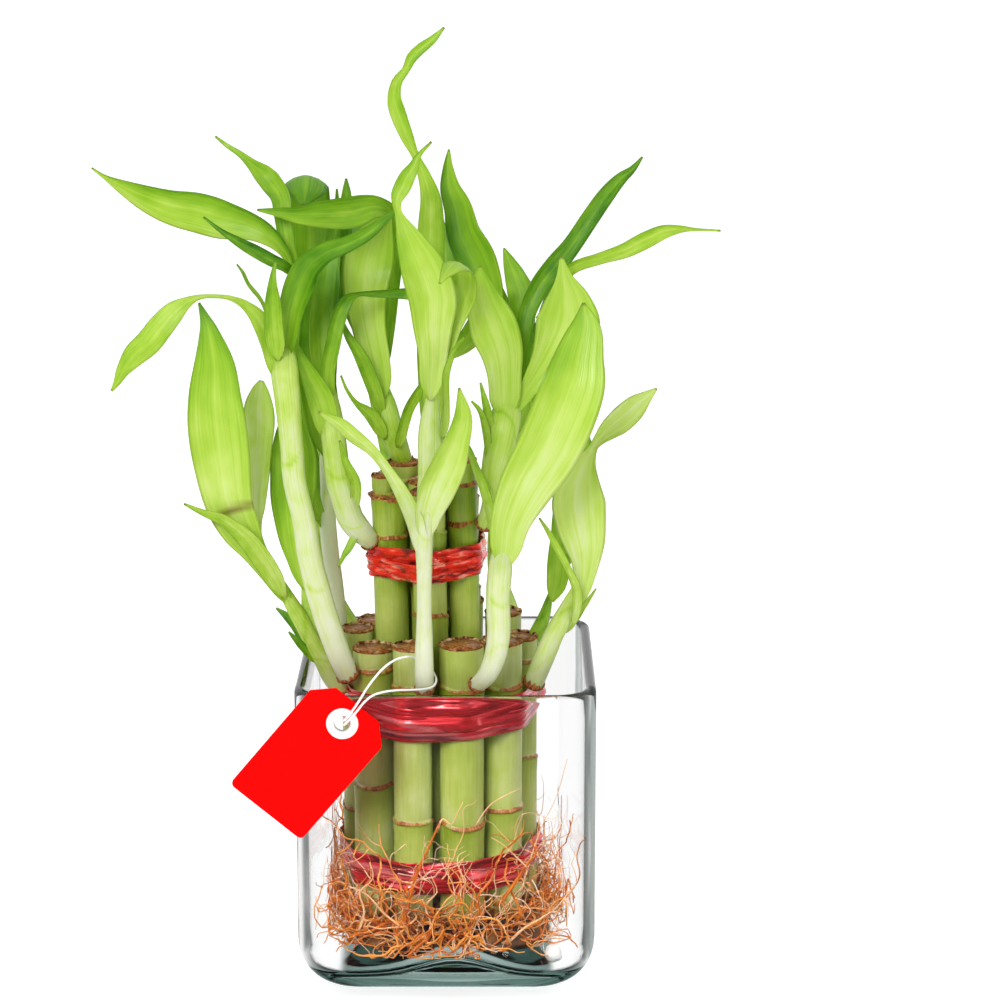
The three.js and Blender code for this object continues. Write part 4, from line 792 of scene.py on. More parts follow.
        Leaf(0, 20, (0.55, 0.7, 0.75), [
            (-44, 36, 160, 3.5), (-46, 44, 177, 7), (-50, 53, 194, 9), (-53, 62, 208, 8),
            (-56, 70, 219, 4.5), (-58, 77, 226, 0.5)]),
        Leaf(0, 25, (0.55, 0.75, 0.78), [
            (-45, 38, 180, 3.5), (-47, 41, 200, 7), (-49, 47, 218, 8), (-51, 55, 233, 6),
            (-52, 62, 242, 3), (-53, 68, 247, 0.4)]),
        Leaf(15, 25, (0.6, 0.7, 0.7), [
            (-45, 38, 182, 3), (-46, 42, 205, 4.5), (-45, 50, 224, 5), (-44, 59, 238, 3.5),
            (-43, 67, 246, 0.4)]),
    ]),
    "shoot_back_right": Shoot("leaf_green", (0.25, 0.45), [
        [(22, 23, 103, 2.8), (21, 28, 114, 3.5), (17, 32, 126, 3.5), (17, 35, 145, 3.6),
         (21, 37, 165, 4), (23, 38, 186, 4)],
    ], [
        Leaf(0, 20, (0.5, 0.6, 0.7), [
            (23, 38, 178, 3.5), (30, 44, 194, 8), (36, 52, 206, 9), (40, 60, 215, 7), (42, 68, 221, 3.5),
            (43, 75, 224, 0.5)]),
        Leaf(0, 25, (0.5, 0.65, 0.7), [
            (22, 38, 182, 3.5), (19, 43, 204, 7), (15, 50, 220, 8), (10, 57, 232, 6), (6, 64, 239, 3),
            (3, 70, 243, 0.4)]),
        Leaf(10, 20, (0.5, 0.6, 0.66), [
            (22, 37, 166, 3), (27, 46, 176, 6), (32, 57, 184, 7), (36, 68, 189, 5.5), (39, 79, 190, 0.4)]),
    ]),
    "shoot_back_centre": Shoot("leaf_green", (0.25, 0.45), [
        [(-12, 34, 104, 3), (-12, 39, 116, 3.6), (-10, 39, 135, 3.8), (-8, 37, 160, 4), (-7, 36, 184, 4)],
    ], [
        Leaf(0, 20, (0.5, 0.6, 0.65), [
            (-7, 37, 176, 3.5), (-7, 45, 194, 5), (-7, 55, 208, 5.8), (-7, 65, 218, 5.2),
            (-7, 75, 224, 3.5), (-7, 84, 226, 0.5)]),
        Leaf(0, 25, (0.5, 0.62, 0.7), [
            (-7, 37, 181, 3.5), (-5.5, 40, 203, 5), (-4.5, 45, 224, 6), (-3, 51, 241, 5),
            (-3, 57, 253, 0.4)]),
        Leaf(10, 20, (0.5, 0.56, 0.6), [
            (-10, 39, 148, 3.5), (-15, 48, 156, 6), (-19, 60, 158, 6.5), (-22, 72, 155, 5),
            (-24, 82, 149, 0.4)]),
    ]),
    "shoot_upper_back": Shoot("leaf_dark", (0.4, 0.6), [
        [(-17, 16, 160, 2.8), (-21, 22, 175, 3.6), (-25, 27, 195, 4), (-28, 29, 213, 4)],
    ], [
        Leaf(0, 20, (0.6, 0.78, 0.8), [
            (-26, 29, 208, 3.5), (-30, 36, 224, 8), (-32, 44, 237, 9), (-33, 53, 247, 6),
            (-33, 61, 252, 0.5)]),
        Leaf(0, 20, (0.6, 0.72, 0.76), [
            (-26, 29, 204, 3), (-29, 36, 210, 3.6), (-31, 43, 214, 3.4), (-32, 50, 215, 0.4)]),
    ]),
}

# ---------------------------------------------------------------- reading the frame


def corners(node, at=PLANT_AT):
    """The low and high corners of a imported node, as seen from the point `at`."""
    low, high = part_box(node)
    return np.array(low) / MM - at, np.array(high) / MM - at


def node_points(node):
    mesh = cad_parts[node].data
    points = np.zeros(len(mesh.vertices) * 3)
    mesh.vertices.foreach_get("co", points)
    return points.reshape(-1, 3) / MM - PLANT_AT


class Cane:
    """What a packed cane says of itself: rings of points from its foot to its cut top."""

    NODE_RINGS = slice(3, -2, 3)  # the rings at nodes, each with a plain one below and above

    def __init__(self, name):
        self.name = name
        points = node_points(name)
        heights = np.round(points[:, 2], 2)
        self.heights = np.array(sorted(set(heights)))
        rings = [points[heights == z][:, :2] for z in self.heights]
        low = np.array([ring.min(axis=0) for ring in rings])
        high = np.array([ring.max(axis=0) for ring in rings])
        self.centres, self.radii = (low + high) / 2, (high - low)[:, 0] / 2
        self.foot, self.top = self.heights[0], self.heights[-1]
        self.nodes = self.heights[self.NODE_RINGS]
        self.plain = np.ones(len(self.heights), bool)
        self.plain[[0, -1]] = False
        self.plain[self.NODE_RINGS] = False

    def centre(self, z):
        return np.array([np.interp(z, self.heights, self.centres[:, k]) for k in (0, 1)]).T

    def radius(self, z):
        return np.interp(z, self.heights[self.plain], self.radii[self.plain])


# ---------------------------------------------------------------- canes

CANE_SEED = 5
CANE_SIDES = 36
CANE_STEP = 2.5
# Heights of the rings close to a node, from the node itself.
NODE_STEPS = (-3.4, -2.2, -1.4, -0.9, -0.5, -0.2, 0.1, 0.4, 0.7, 1.1, 1.6, 2.4)
NODE_ROOM = 3.6
SCAR_TILT = 0.8
WET_FOOT = 20.0  # height over which a foot is browned by the water
RIPE = {"outer": 0.36, "inner": 0.54}  # tones of the two kinds of cane
RIPE_ALONE = {"inner_cane_02": 0.66}  # the tone of a cane that is not like its neighbours

# The cut face from its edge to its middle: share of the cane's radius, height above the cut
# and how rough it is.
CUT_OUTLINE = [(0.9, -1.6, 0.0), (1.03, -0.9, 0.1), (1.05, -0.3, 0.2), (1.0, 0.05, 0.35),
               (0.9, 0.0, 0.35), (0.82, -0.6, 0.3), (0.6, -0.8, 0.35), (0.35, -0.7, 0.35),
               (0.12, -0.75, 0.3)]


def cane_heights(cane):
    """Even rings up the cane, with close ones at each node."""
    even = np.arange(cane.foot + 0.6, cane.top - 0.9, CANE_STEP)
    clear = [z for z in even if all(abs(z - node) > NODE_ROOM for node in cane.nodes)]
    close = [node + step for node in cane.nodes for step in NODE_STEPS]
    inside = [z for z in close if z < cane.top - 1.2]
    return np.array(sorted([cane.foot, *clear, *inside, cane.top - 1.1, cane.top - 0.5]))


def node_marks(cane, above, patchy):
    """How far a cane swells, how scarred it is and how dark, with its nodes at `above`."""
    swell, scar, dark = (np.zeros_like(above) for _ in range(3))
    for node in cane.nodes:
        off = above - node
        swell += 0.5 * bell(off, 0.5) - 0.3 * bell(off - 1.1, 0.5) + 0.25 * bell(off + 1.8, 2.2)
        scar = np.maximum(scar, patchy * bell(off - 0.3, 0.9))
        dark = np.maximum(dark, np.where(off < 0, 0.25 * np.exp(off / 9), 0))
    return swell, scar, dark


def cane_skin(skin, cane, random_numbers):
    turn = turns(CANE_SIDES)
    heights = cane_heights(cane)
    high = heights[:, None]
    centre = np.column_stack([cane.centre(heights), heights])
    phases = [random_numbers.uniform(0, FULL_TURN) for _ in range(6)]
    lean = random_numbers.uniform(0.5, 1) * SCAR_TILT
    radius = cane.radius(heights)[:, None] * (1 + 0.012 * np.sin(2 * turn + phases[2]))
    radius = radius + 0.05 * np.sin(9 * turn + phases[3]) * np.sin(high / 9 + phases[4])
    smooth = level_rings(centre, radius, turn)
    above = high - lean * np.sin(turn + phases[0]) - 0.3 * np.sin(2 * turn + phases[1])
    above = above + 0.7 * wobble(smooth, 0.22, phases[0])
    patchy = 0.8 + 0.7 * wobble(smooth, 0.16, phases[1])
    swell, scar, dark = node_marks(cane, above, patchy)
    radius = radius + swell - np.where(high < cane.foot + 0.4, 0.5, 0)
    ripe = RIPE[cane.name[:5]] + random_numbers.uniform(0, 0.1)
    tone = RIPE_ALONE.get(cane.name, ripe) + dark + 0.06 * np.sin(turn + phases[5])
    wet = np.clip((cane.foot + WET_FOOT - high) / WET_FOOT, 0, 1)
    scar = np.maximum(scar, wet * (0.45 + 0.3 * patchy))
    scar = np.where(high > cane.top - 1.0, 0.8, scar)
    lie = columns(np.cos(turn), np.sin(turn), high / 6)
    skin.loft(level_rings(centre, radius, turn), lie, tone, scar)
    cut_face(skin, cane.centre(cane.top), cane.top, radius[-1], random_numbers)
    ledge = cane.nodes[-1]
    below = cane.radius(ledge - 2)
    if below > cane.radius(ledge + 2) + 1:
        cut_face(skin, cane.centre(ledge - 2), ledge, below, random_numbers)


def cut_face(skin, middle, top, rim, random_numbers):
    """A ragged rim and a hollow of rough fibres, on its own low plug in the top of a cane."""
    turn = turns(CANE_SIDES)
    share, rise, rough = (np.array(column)[:, None] for column in zip(*CUT_OUTLINE))
    centre = np.column_stack([np.repeat(middle[None], len(share), axis=0), top + rise[:, 0]])
    rings = level_rings(centre, share * rim, turn)
    shake = np.array([[random_numbers.uniform(-1, 1) for _ in turn] for _ in CUT_OUTLINE])
    rings[..., 2] += rough * shake
    lie = columns(share * np.cos(turn), share * np.sin(turn), rise)
    skin.loft(rings, lie, 0.0, np.where(share > 0.95, 1.0, 0.0), kind=1)


def make_canes():
    materials = [cane_material(), cut_material()]
    random_numbers = random.Random(CANE_SEED)
    canes = [Cane(name) for name in sorted(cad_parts) if "_cane_" in name]
    for cane in canes:
        skin = Skin()
        cane_skin(skin, cane, random_numbers)
        skin.piece("dressed_" + cane.name, materials, cane.name)
    return canes


# ---------------------------------------------------------------- foil ties

# A tie has the canes it holds, its foil, its seed, how its folds are stretched, from long ones
# at 0 to ones as long as high at 1, and how it climbs towards +X.
Tie = namedtuple("Tie", "canes foil seed stretch climb")
TIES = {
    "tie_lower": Tie("outer", "foil", 3, 0.2, 0.0),
    "tie_middle": Tie("outer", "foil", 4, 0.16, 0.0),
    "tie_upper": Tie("inner", "foil_upper", 6, 0.6, 0.06),
}
# Each foil's grain, its reds from dull to bright to a painted glint, and how metallic it is.
FOILS = {
    "foil": ((0.7, 0.7, 4), ("c20c18", "f0303a", "ff8084"), 0.55),
    "foil_upper": ((2.2, 2.2, 7), ("c80c06", "fa2a18", "ff9c88"), 0.3),
}
RIBBON_ROUND = 180  # points round the bundle
RIBBON_ACROSS = 9
RIBBON_OFF = 0.5  # from the canes to the ribbon's line
RIBBON_THICKNESS = 0.25
HULL_ANGLES = 720
TIE_STRANDS = 5
STRAND_SHARE = 0.36  # of the tie's width, what one strand covers
SWAY_SHARE = 0.09  # of the tie's width, how far a strand wanders up and down


def hull_loop(canes, height):
    """The line of a band pulled tight round the canes, as evenly spaced (x, y) points."""
    circles = [(cane.centre(height), cane.radius(height)) for cane in canes
               if cane.foot < height < cane.top]
    loop = []
    for angle in turns(HULL_ANGLES):
        way = np.array([math.cos(angle), math.sin(angle)])
        centre, radius = max(circles, key=lambda c: c[0] @ way + c[1])
        loop.append(centre + (radius + RIBBON_OFF) * way)
    loop = np.array(loop + loop[:1])
    far = distance_along(loop)
    even = np.linspace(0, far[-1], RIBBON_ROUND, endpoint=False)
    return np.column_stack([np.interp(even, far, loop[:, k]) for k in (0, 1)])


def ribbon(skin, loop, middle, width, lift, stretch, seed):
    """One turn of creased ribbon: `middle` is the height of its centre line at each point."""
    out = np.roll(loop, -1, axis=0) - np.roll(loop, 1, axis=0)
    out = unit(np.column_stack([out[:, 1], -out[:, 0]]))
    t = np.linspace(-1, 1, RIBBON_ACROSS)
    place = columns(stretch * loop[:, :1], stretch * loop[:, 1:], middle + 0.95 * t * width)
    crease = 2 * np.abs(wobble(place, 0.2, seed))
    fine = wobble(place, 0.35, seed + 9)
    # painted shade: broad dark patches, and dark lines along the valleys of the creases
    shadow = np.clip(3.2 * wobble(place, 0.09, seed + 5), 0, 1)
    fold_shade = np.clip(1 - crease / 0.2 + 0.75 * shadow, 0, 1)
    bow = np.clip(lift + 0.5 * (1 - t**2) + crease + 0.1 * fine, 0.1, None)
    high = middle + width / 2 * t * (1 + 0.12 * fine)
    sides = []
    for off in (bow + RIBBON_THICKNESS / 2, bow - RIBBON_THICKNESS / 2):
        flat = loop[:, None] + out[:, None] * off[..., None]
        sides.append(np.concatenate([flat, high[..., None]], axis=-1))
    lie = columns(np.concatenate([t, t[::-1]]), 0.0, distance_along(loop)[:, None])
    skin.loft(two_sided(*sides), lie, 0.5, two_sided(fold_shade, fold_shade), joined=True)


def make_tie(node, tie, canes, material):
    """Several turns of foil ribbon that wander over each other round the bundle."""
    low, high = corners(node)
    height = (low[2] + high[2]) / 2
    band = high[2] - low[2] - tie.climb * (high[0] - low[0])
    loop = hull_loop(canes, height)
    round_about = turns(RIBBON_ROUND)
    base = height + tie.climb * (loop[:, 0] - loop[:, 0].mean())
    random_numbers = random.Random(tie.seed)
    skin = Skin()
    width = band * STRAND_SHARE
    for k in range(TIE_STRANDS):
        share = k / (TIE_STRANDS - 1) - 0.5
        phase = random_numbers.uniform(0, FULL_TURN)
        sway = SWAY_SHARE * band * np.sin(round_about * random_numbers.choice((1, 2)) + phase)
        middle = base + share * (band - width) + sway * (1 - abs(share))
        lift = 0.15 + 0.3 * (k % 3) + 0.15 * np.sin(2 * round_about + phase)
        ribbon(skin, loop, middle[:, None], width, lift[:, None], tie.stretch,
               tie.seed * 10.0 + k * 3.7)
    skin.piece("foil_" + node, [material], node)


def make_ties(canes):
    foils = {name: foil_material(name, *look) for name, look in FOILS.items()}
    for node, tie in TIES.items():
        held = [cane for cane in canes if cane.name.startswith(tie.canes)]
        make_tie(node, tie, held, foils[tie.foil])


# ---------------------------------------------------------------- leafy shoots

SHOOT_SEED = 20
BLADE_STEPS = 28  # rings of a blade at least
BLADE_COLUMNS = 13
BLADE_MIDDLE = 0.5  # thickness of a blade along its middle
BLADE_RIM = 0.16
FOOT_TAPER = 9.0  # length over which a blade widens at its foot
STEM_SIDES = 24
STEM_TAPER = 17.0  # length over which a stem thins out into its top leaves
SHEATHS = (0.3, 0.64)  # where one leaf's sheath gives way to the next up a stem
SHEATH_SLANT = 5.0
HUSK_STEPS = 9  # steps of the stem that a husk may cover
# The husk from its outer foot over its ragged edge to its inner foot: the step of the stem and
# the share of the stem's radius.
HUSK_OUTLINE = [(0, 1.0), (1, 1.16), (3, 1.2), (5, 1.14), (5, 1.07), (3, 1.06), (0, 0.9)]


def blade_bow(size, cup, t):
    """Where a blade lies across and out of its line: an arc of this half width and cup."""
    arc = 2 * math.radians(cup)
    out = size * math.cos(arc / 2) / math.sin(arc)
    return out * np.sin(arc * t), out * (1 - np.cos(arc * t))


def blade_relief(size, u, t, random_numbers):
    """Ripples of the rim, fine ribs and a furrow along the middle."""
    phase = random_numbers.uniform(0, FULL_TURN)
    cycles = random_numbers.uniform(1.5, 3)
    ripple = np.sin(FULL_TURN * cycles * u + phase + 1.3 * np.sign(t)) * np.sin(math.pi * u)
    ribs = 0.05 * np.cos(6 * math.pi * t) - 0.18 * bell(t, 0.12)
    return 0.07 * size * np.abs(t) ** 3 * ripple + ribs * np.minimum(size / 6, 1)


def blade_marks(leaf, u, t, random_numbers):
    """The tone of a blade, with painted shade over one half from its lean, and its dry tip and crease."""
    # the lean: painted shade on one half of the blade, a painted highlight on the other
    lean = leaf.lean or random_numbers.uniform(-0.09, 0.09)
    tone = np.interp(u, (0, 0.4, 1), leaf.tones) + lean * t
    tone = tone - 0.1 * bell(t, 0.1) + 0.06 * np.abs(t) ** 3
    scar = 0.7 * np.clip((u - 0.985) / 0.015, 0, 1)
    if leaf.crease:
        scar = scar + 0.8 * bell(u - leaf.crease - 0.008 * t, 0.011)
    return tone, scar


def blade_skin(skin, leaf, random_numbers):
    """A thin bowed blade with fine ribs and a rim that ripples a little."""
    steps = max(BLADE_STEPS, 6 * (len(leaf.path) - 1))
    line = smooth_line(leaf.path, steps)
    at, half_widths = line[:, :3], [half for _, _, _, half in leaf.path]
    far = distance_along(at)[:, None]
    foot = np.clip(far / min(FOOT_TAPER, 0.2 * far[-1, 0]), 0, 1)
    size = np.maximum(line[:, 3:], min(half_widths)) * (0.2 + 0.8 * foot * (2 - foot))
    u = np.linspace(0, 1, steps + 1)[:, None]
    t = np.linspace(1, -1, BLADE_COLUMNS)
    x, y = blade_bow(size, leaf.cup, t)
    y = y + blade_relief(size, u, t, random_numbers)
    thick = (BLADE_MIDDLE - (BLADE_MIDDLE - BLADE_RIM) * np.abs(t) ** 1.5) / 2
    thick = thick * np.clip(0.25 + 12 * (1 - u), 0, 1)
    ways = sweep_frames(at, leaf.roll, leaf.carried)
    rings = two_sided(section_rings(at, *ways, x, y + thick), section_rings(at, *ways, x, y - thick))
    both = np.concatenate([t, t[::-1]])
    lie = columns(both, np.repeat([0.5, -0.5], BLADE_COLUMNS), far / max(half_widths))
    skin.loft(rings, lie, *blade_marks(leaf, u, both, random_numbers))


def stem_skin(skin, path, tones, random_numbers):
    """A stem wrapped in sheaths, each with a slanting upper margin. Its top thins out and sinks
    behind its leaves."""
    steps = 12 * (len(path) - 1)
    line = smooth_line(path, steps)
    line[:, 3] = np.maximum(line[:, 3], min(radius for _, _, _, radius in path))
    length = distance_along(line[:, :3])[-1]
    u = np.linspace(0, 1, steps + 1)[:, None]
    turn = turns(STEM_SIDES)
    swell = 1.02 + 0.012 * np.sin(7 * turn + 3 * u)
    tone = tones[0] + (tones[1] - tones[0]) * u
    for share in SHEATHS:
        facing = random_numbers.uniform(0, FULL_TURN)
        past = (u - share) * length - SHEATH_SLANT * np.cos(turn - facing)
        swell = swell - 0.035 * np.clip(past / 0.6, 0, 1)
        tone = tone + 0.15 * bell(past, 0.7)
    thin = np.clip((1 - u) * length / STEM_TAPER, 0, 1)
    line[:, 1] += 1.6 * line[:, 3] * (1 - thin[:, 0])
    rings, lie = tube_rings(line, STEM_SIDES, swell * (0.12 + 0.88 * thin * (2 - thin)))
    skin.loft(rings, lie, tone)
    husk_skin(skin, line[:HUSK_STEPS], random_numbers)


def husk_skin(skin, line, random_numbers):
    """A ragged brown collar round the foot of a stem."""
    at, size = line[:, :3], line[:, 3]
    across, face = sweep_frames(at)
    turn = turns(STEM_SIDES)
    ragged = np.array([random_numbers.uniform(0.4, 1) for _ in turn])
    phase = random_numbers.uniform(0, FULL_TURN)
    ragged = ragged * (0.75 + 0.25 * np.sin(turn + phase))
    rings = []
    for k, spread in HUSK_OUTLINE:
        reach = k * ragged if k > 1 else np.full(STEM_SIDES, k)
        centre = np.column_stack([np.interp(reach, range(HUSK_STEPS), part) for part in at.T])
        radius = size[k] * spread
        rings.append(centre + radius * np.cos(turn)[:, None] * across[k]
                     + radius * np.sin(turn)[:, None] * face[k])
    lie = columns(np.cos(turn), np.sin(turn), 0.5 * np.arange(len(rings))[:, None])
    skin.loft(np.array(rings), lie, 0.0, 1.0, kind=1)


def make_shoots():
    materials = [leaf_material(), husk_material()]
    for index, (name, shoot) in enumerate(SHOOTS.items()):
        random_numbers = random.Random(SHOOT_SEED + index)
        skin = Skin()
        for path in shoot.stems:
            stem_skin(skin, path, shoot.tones, random_numbers)
        for leaf in shoot.leaves:
            blade_skin(skin, leaf, random_numbers)
        skin.piece("dressed_" + name, materials, name)


# ---------------------------------------------------------------- roots

ROOT_COLOURS = [(0.0, "a8480c"), (0.25, "dc7416"), (0.5, "ec9638"), (0.75, "efbc8c"),
                (1.0, "f6e4d2")]
BED_COLOURS = [(0.0, "1c100a"), (0.4, "4a2e16"), (0.7, "8e5a26"), (1.0, "c08a52")]
ROOT_SEED = 31
ROOT_LIMIT = 45.2  # half width that the roots may fill, inside the glass
ROOT_FLOOR = 12.0
ROOT_STEP = 3.2
BUNDLE = np.array([-3.8, 0.0])  # middle of the bundle of canes
BUNDLE_CLEAR = 37.6  # radius that the roots stay clear of, above BUNDLE_FOOT
BUNDLE_FOOT = 19.0
FRONT_LEFT = 3.7  # radians from +X, where the photograph shows the roots densest

FEEDER_COUNT = 150
HAIR_COUNT = 160
LOW_COUNT = 110
LEFT_COUNT = 60
TWIG_COUNT = 3  # side roots of a feeder
TWIG_SHARE = 0.42  # of its radius

# A kind of root has its range of lengths, how much it bends and rises at each step, its ranges
# of radius and tone, and the sides of its tube.
Root = namedtuple("Root", "lengths bend rise radii tones sides")
FEEDER = Root((30, 46), 0.42, 0.03, (0.34, 0.72), (0.1, 0.6), 6)
TALL_FEEDER = FEEDER._replace(lengths=(30, 70), rise=0.16)
HAIR = Root((16, 44), 0.4, 0.1, (0.14, 0.28), (0.6, 1.0), 5)
LOW_ROOT = Root((18, 44), 0.45, -0.02, (0.3, 0.6), (0.05, 0.7), 6)
LEFT_ROOT = Root((18, 44), 0.5, 0.03, (0.25, 0.5), (0.1, 0.7), 6)
TWIG = Root((7, 18), 0.45, 0.0, None, (0.5, 0.95), 5)  # its radius comes from its feeder

THICK_ROOT = 0.55
FRONT_SIDES = 8
# Roots that stand out at the front: the y that they lie at, their radius and (x, z) along them.
FRONT_ROOTS = [
    (-40.5, 0.8, [(-17.5, 14), (-15, 24), (-11.5, 39), (-6.5, 51), (-3, 59)]),
    (-40, 0.8, [(17, 29), (22, 36), (27, 44), (30, 48), (28, 53)]),
    (-40.5, 0.34, [(27, 43), (25, 45), (19, 51), (14.5, 54)]),
    (-38.5, 0.3, [(9, 57), (13.5, 64), (18, 67.5), (25, 71)]),
    (-40, 0.3, [(25, 34), (27, 42), (30, 52), (33, 60), (38, 70), (41, 82)]),
    (-38.8, 0.36, [(-4, 55), (-2, 60), (1, 58), (3, 62), (5, 66)]),
    (-40.2, 0.34, [(1, 28), (3, 33), (6, 38), (3.5, 42), (5, 46)]),
    (-40.3, 0.55, [(-12, 16), (-15, 20), (-22, 26), (-28, 33), (-34, 36)]),
    (-40.6, 0.5, [(-31, 20), (-29, 27), (-30.5, 34), (-26, 39), (-27, 45)]),
    (-40.4, 0.42, [(-9, 17), (-6, 22), (-8, 29), (-4, 34), (-6, 40)]),
    (-40.5, 0.55, [(20, 15), (26, 21), (31, 24), (38, 29), (42, 35)]),
]

BED_SIDES = 72
BED_CORNERS = 25  # radius above which the bed is squarish, as the vase is
# The bed of matted roots, from the middle of its underside to the middle of its top: radius
# and height.
BED_OUTLINE = [(4, 13.4), (20, 13), (31, 11), (36.5, 9.8), (39, 10.4), (38, 12.2), (34, 14.6),
               (29, 16.6), (16, 17.4), (4, 17.4)]


def keep_in(at):
    """The nearest place that is clear of the glass, the floor and, higher up, the canes."""
    at[:2] = np.clip(at[:2], -ROOT_LIMIT, ROOT_LIMIT)
    at[2] = max(at[2], ROOT_FLOOR + 0.04 * (np.abs(at[:2]).max() - ROOT_LIMIT))
    off = at[:2] - BUNDLE
    far = np.linalg.norm(off)
    if at[2] > BUNDLE_FOOT and far < BUNDLE_CLEAR:
        at[:2] = np.clip(BUNDLE + off / far * BUNDLE_CLEAR, -ROOT_LIMIT, ROOT_LIMIT)
    return at


def wander(root, start, way, random_numbers):
    """A root's wandering line, kept inside the vase and out of the bundle of canes."""
    length = random_numbers.uniform(*root.lengths)
    at, heading = np.array(start), unit(np.array(way))
    line = [at.copy()]
    for _ in range(max(4, int(length / ROOT_STEP))):
        turn = np.array([random_numbers.gauss(0, root.bend) for _ in range(3)])
        heading = unit(heading + turn + (0, 0, root.rise))
        at = keep_in(at + ROOT_STEP * heading)
        line.append(at.copy())
    return np.array(line)


def strand(skin, line, radius, tone, sides):
    """A tube that thins out along a line."""
    taper = np.linspace(radius, radius * 0.35, len(line))
    smooth = smooth_line(np.column_stack([line, taper]), max(10, 3 * (len(line) - 1)))
    rings, lie = tube_rings(smooth, sides)
    skin.loft(rings, lie, tone)


def grow(skin, root, start, way, random_numbers):
    """One root of this kind. Gives its line and its radius, for its side roots."""
    line = wander(root, start, way, random_numbers)
    radius = random_numbers.uniform(*root.radii)
    strand(skin, line, radius, random_numbers.uniform(*root.tones), root.sides)
    return line, radius


def grow_twigs(skin, line, radius, random_numbers):
    for _ in range(TWIG_COUNT):
        start = line[random_numbers.randrange(1, len(line) - 1)]
        twig = wander(TWIG, start, any_way(random_numbers), random_numbers)
        strand(skin, twig, radius * TWIG_SHARE, random_numbers.uniform(*TWIG.tones), TWIG.sides)


def any_way(random_numbers):
    """A way out in any direction."""
    return [random_numbers.gauss(0, 1) for _ in range(3)]


def outwards(angle, rise):
    """The level way out at this angle, and how much it climbs."""
    return np.array([math.cos(angle), math.sin(angle), rise])


def beside_bundle(angle, radius, height):
    """The place at this angle and distance from the middle of the bundle."""
    return np.append(BUNDLE + radius * outwards(angle, 0)[:2], height)


def make_feeders(skin, random_numbers):
    """Thick roots all round, every third one taller, each with side roots."""
    for index in range(FEEDER_COUNT):
        angle = FULL_TURN * (index + random_numbers.random()) / FEEDER_COUNT
        start = beside_bundle(angle, random_numbers.uniform(30, 38), random_numbers.uniform(13, 22))
        way = outwards(angle, random_numbers.uniform(-0.3, 0.8))
        root = FEEDER if index % 3 else TALL_FEEDER
        line, radius = grow(skin, root, start, way, random_numbers)
        grow_twigs(skin, line, radius, random_numbers)


def make_fine_roots(skin, random_numbers):
    """Hairs at any height, low roots on the floor and more of them at the front left."""
    for _ in range(HAIR_COUNT):
        angle = random_numbers.uniform(0, FULL_TURN)
        start = beside_bundle(angle, 38, random_numbers.uniform(14, 44))
        grow(skin, HAIR, start, any_way(random_numbers), random_numbers)
    for _ in range(LOW_COUNT):
        angle = random_numbers.uniform(0, FULL_TURN)
        start = beside_bundle(angle, 33, random_numbers.uniform(12, 18))
        grow(skin, LOW_ROOT, start, outwards(angle, 0), random_numbers)
    for _ in range(LEFT_COUNT):
        angle = random_numbers.gauss(FRONT_LEFT, 0.6)
        way = outwards(angle, random_numbers.uniform(-0.1, 0.6))
        start = beside_bundle(angle, 38, random_numbers.uniform(12, 26))
        grow(skin, LEFT_ROOT, start, way, random_numbers)


def make_front_roots(skin):
    """The roots that stand out, the thick ones darker."""
    for y, radius, points in FRONT_ROOTS:
        line = np.array([(x, y, z) for x, z in points])
        strand(skin, line, radius, 0.2 if radius > THICK_ROOT else 0.75, FRONT_SIDES)


def make_bed(skin):
    """The dark matted bed under the feet of the canes."""
    turn = turns(BED_SIDES)
    radius, height = (np.array(column, float)[:, None] for column in zip(*BED_OUTLINE))
    square = 1 + 0.1 * np.cos(4 * turn + math.pi) * (radius > BED_CORNERS)
    rings = level_rings(height * (0, 0, 1), radius * square, turn)
    rings[..., 2] += 1.6 * wobble(rings, 0.3, 3.0)
    rings[..., :2] *= 1 + 0.05 * wobble(rings, 0.25, 8.0)[..., None]
    tone = 0.45 + 0.5 * wobble(rings, 0.3, 12.0)
    skin.loft(rings, rings / 5, tone, kind=1)


def make_roots():
    materials = [root_material("root", ROOT_COLOURS), root_material("root_bed", BED_COLOURS)]
    random_numbers = random.Random(ROOT_SEED)
    skin = Skin()
    make_feeders(skin, random_numbers)
    make_fine_roots(skin, random_numbers)
    make_front_roots(skin)
    make_bed(skin)
    skin.piece("roots", materials, "root_mass")


# ---------------------------------------------------------------- vase, water and pebbles

VASE_WALL = 3.6
VASE_FOOT = 35.0  # half width of the flat underside
VASE_HEEL = 20.0  # height of the rounded bottom edge
VASE_RIM = 2.0  # height of the rounded rim
VASE_ROUNDING = 0.25  # radius of the upright corners as a share of the half width
CORNER_STEPS = 10
FLAT_STEPS = 14
FLOOR_TOP = 26.0  # height above which the inner wall is straight
SWELL_X, SWELL_SPREAD, SWELL_HEIGHT = 3.0, 16.0, 5.5
PEBBLE_SIDES = 28
PEBBLE_RINGS = 18
PEBBLE_POLE = 0.08  # radians that the rings stop short of the poles


def square_ring(half, z):
    """A square with rounded corners, its flats cut in even steps."""
    radius = VASE_ROUNDING * half
    inset = half - radius
    ring = []
    for quarter in range(4):
        turn = quarter * math.pi / 2
        corner = inset * math.sqrt(2)
        cx, cy = corner * math.cos(turn + math.pi / 4), corner * math.sin(turn + math.pi / 4)
        for k in range(CORNER_STEPS + 1):
            angle = turn + math.pi / 2 * k / CORNER_STEPS
            ring.append((cx + radius * math.cos(angle), cy + radius * math.sin(angle), z))
        x, y, _ = ring[-1]
        for share in np.arange(1, FLAT_STEPS) / FLAT_STEPS:
            far = 2 * inset * share
            ring.append((x - far * math.cos(turn), y - far * math.sin(turn), z))
    return ring


def square_rings(outline):
    return np.array([square_ring(half, z) for half, z in outline])


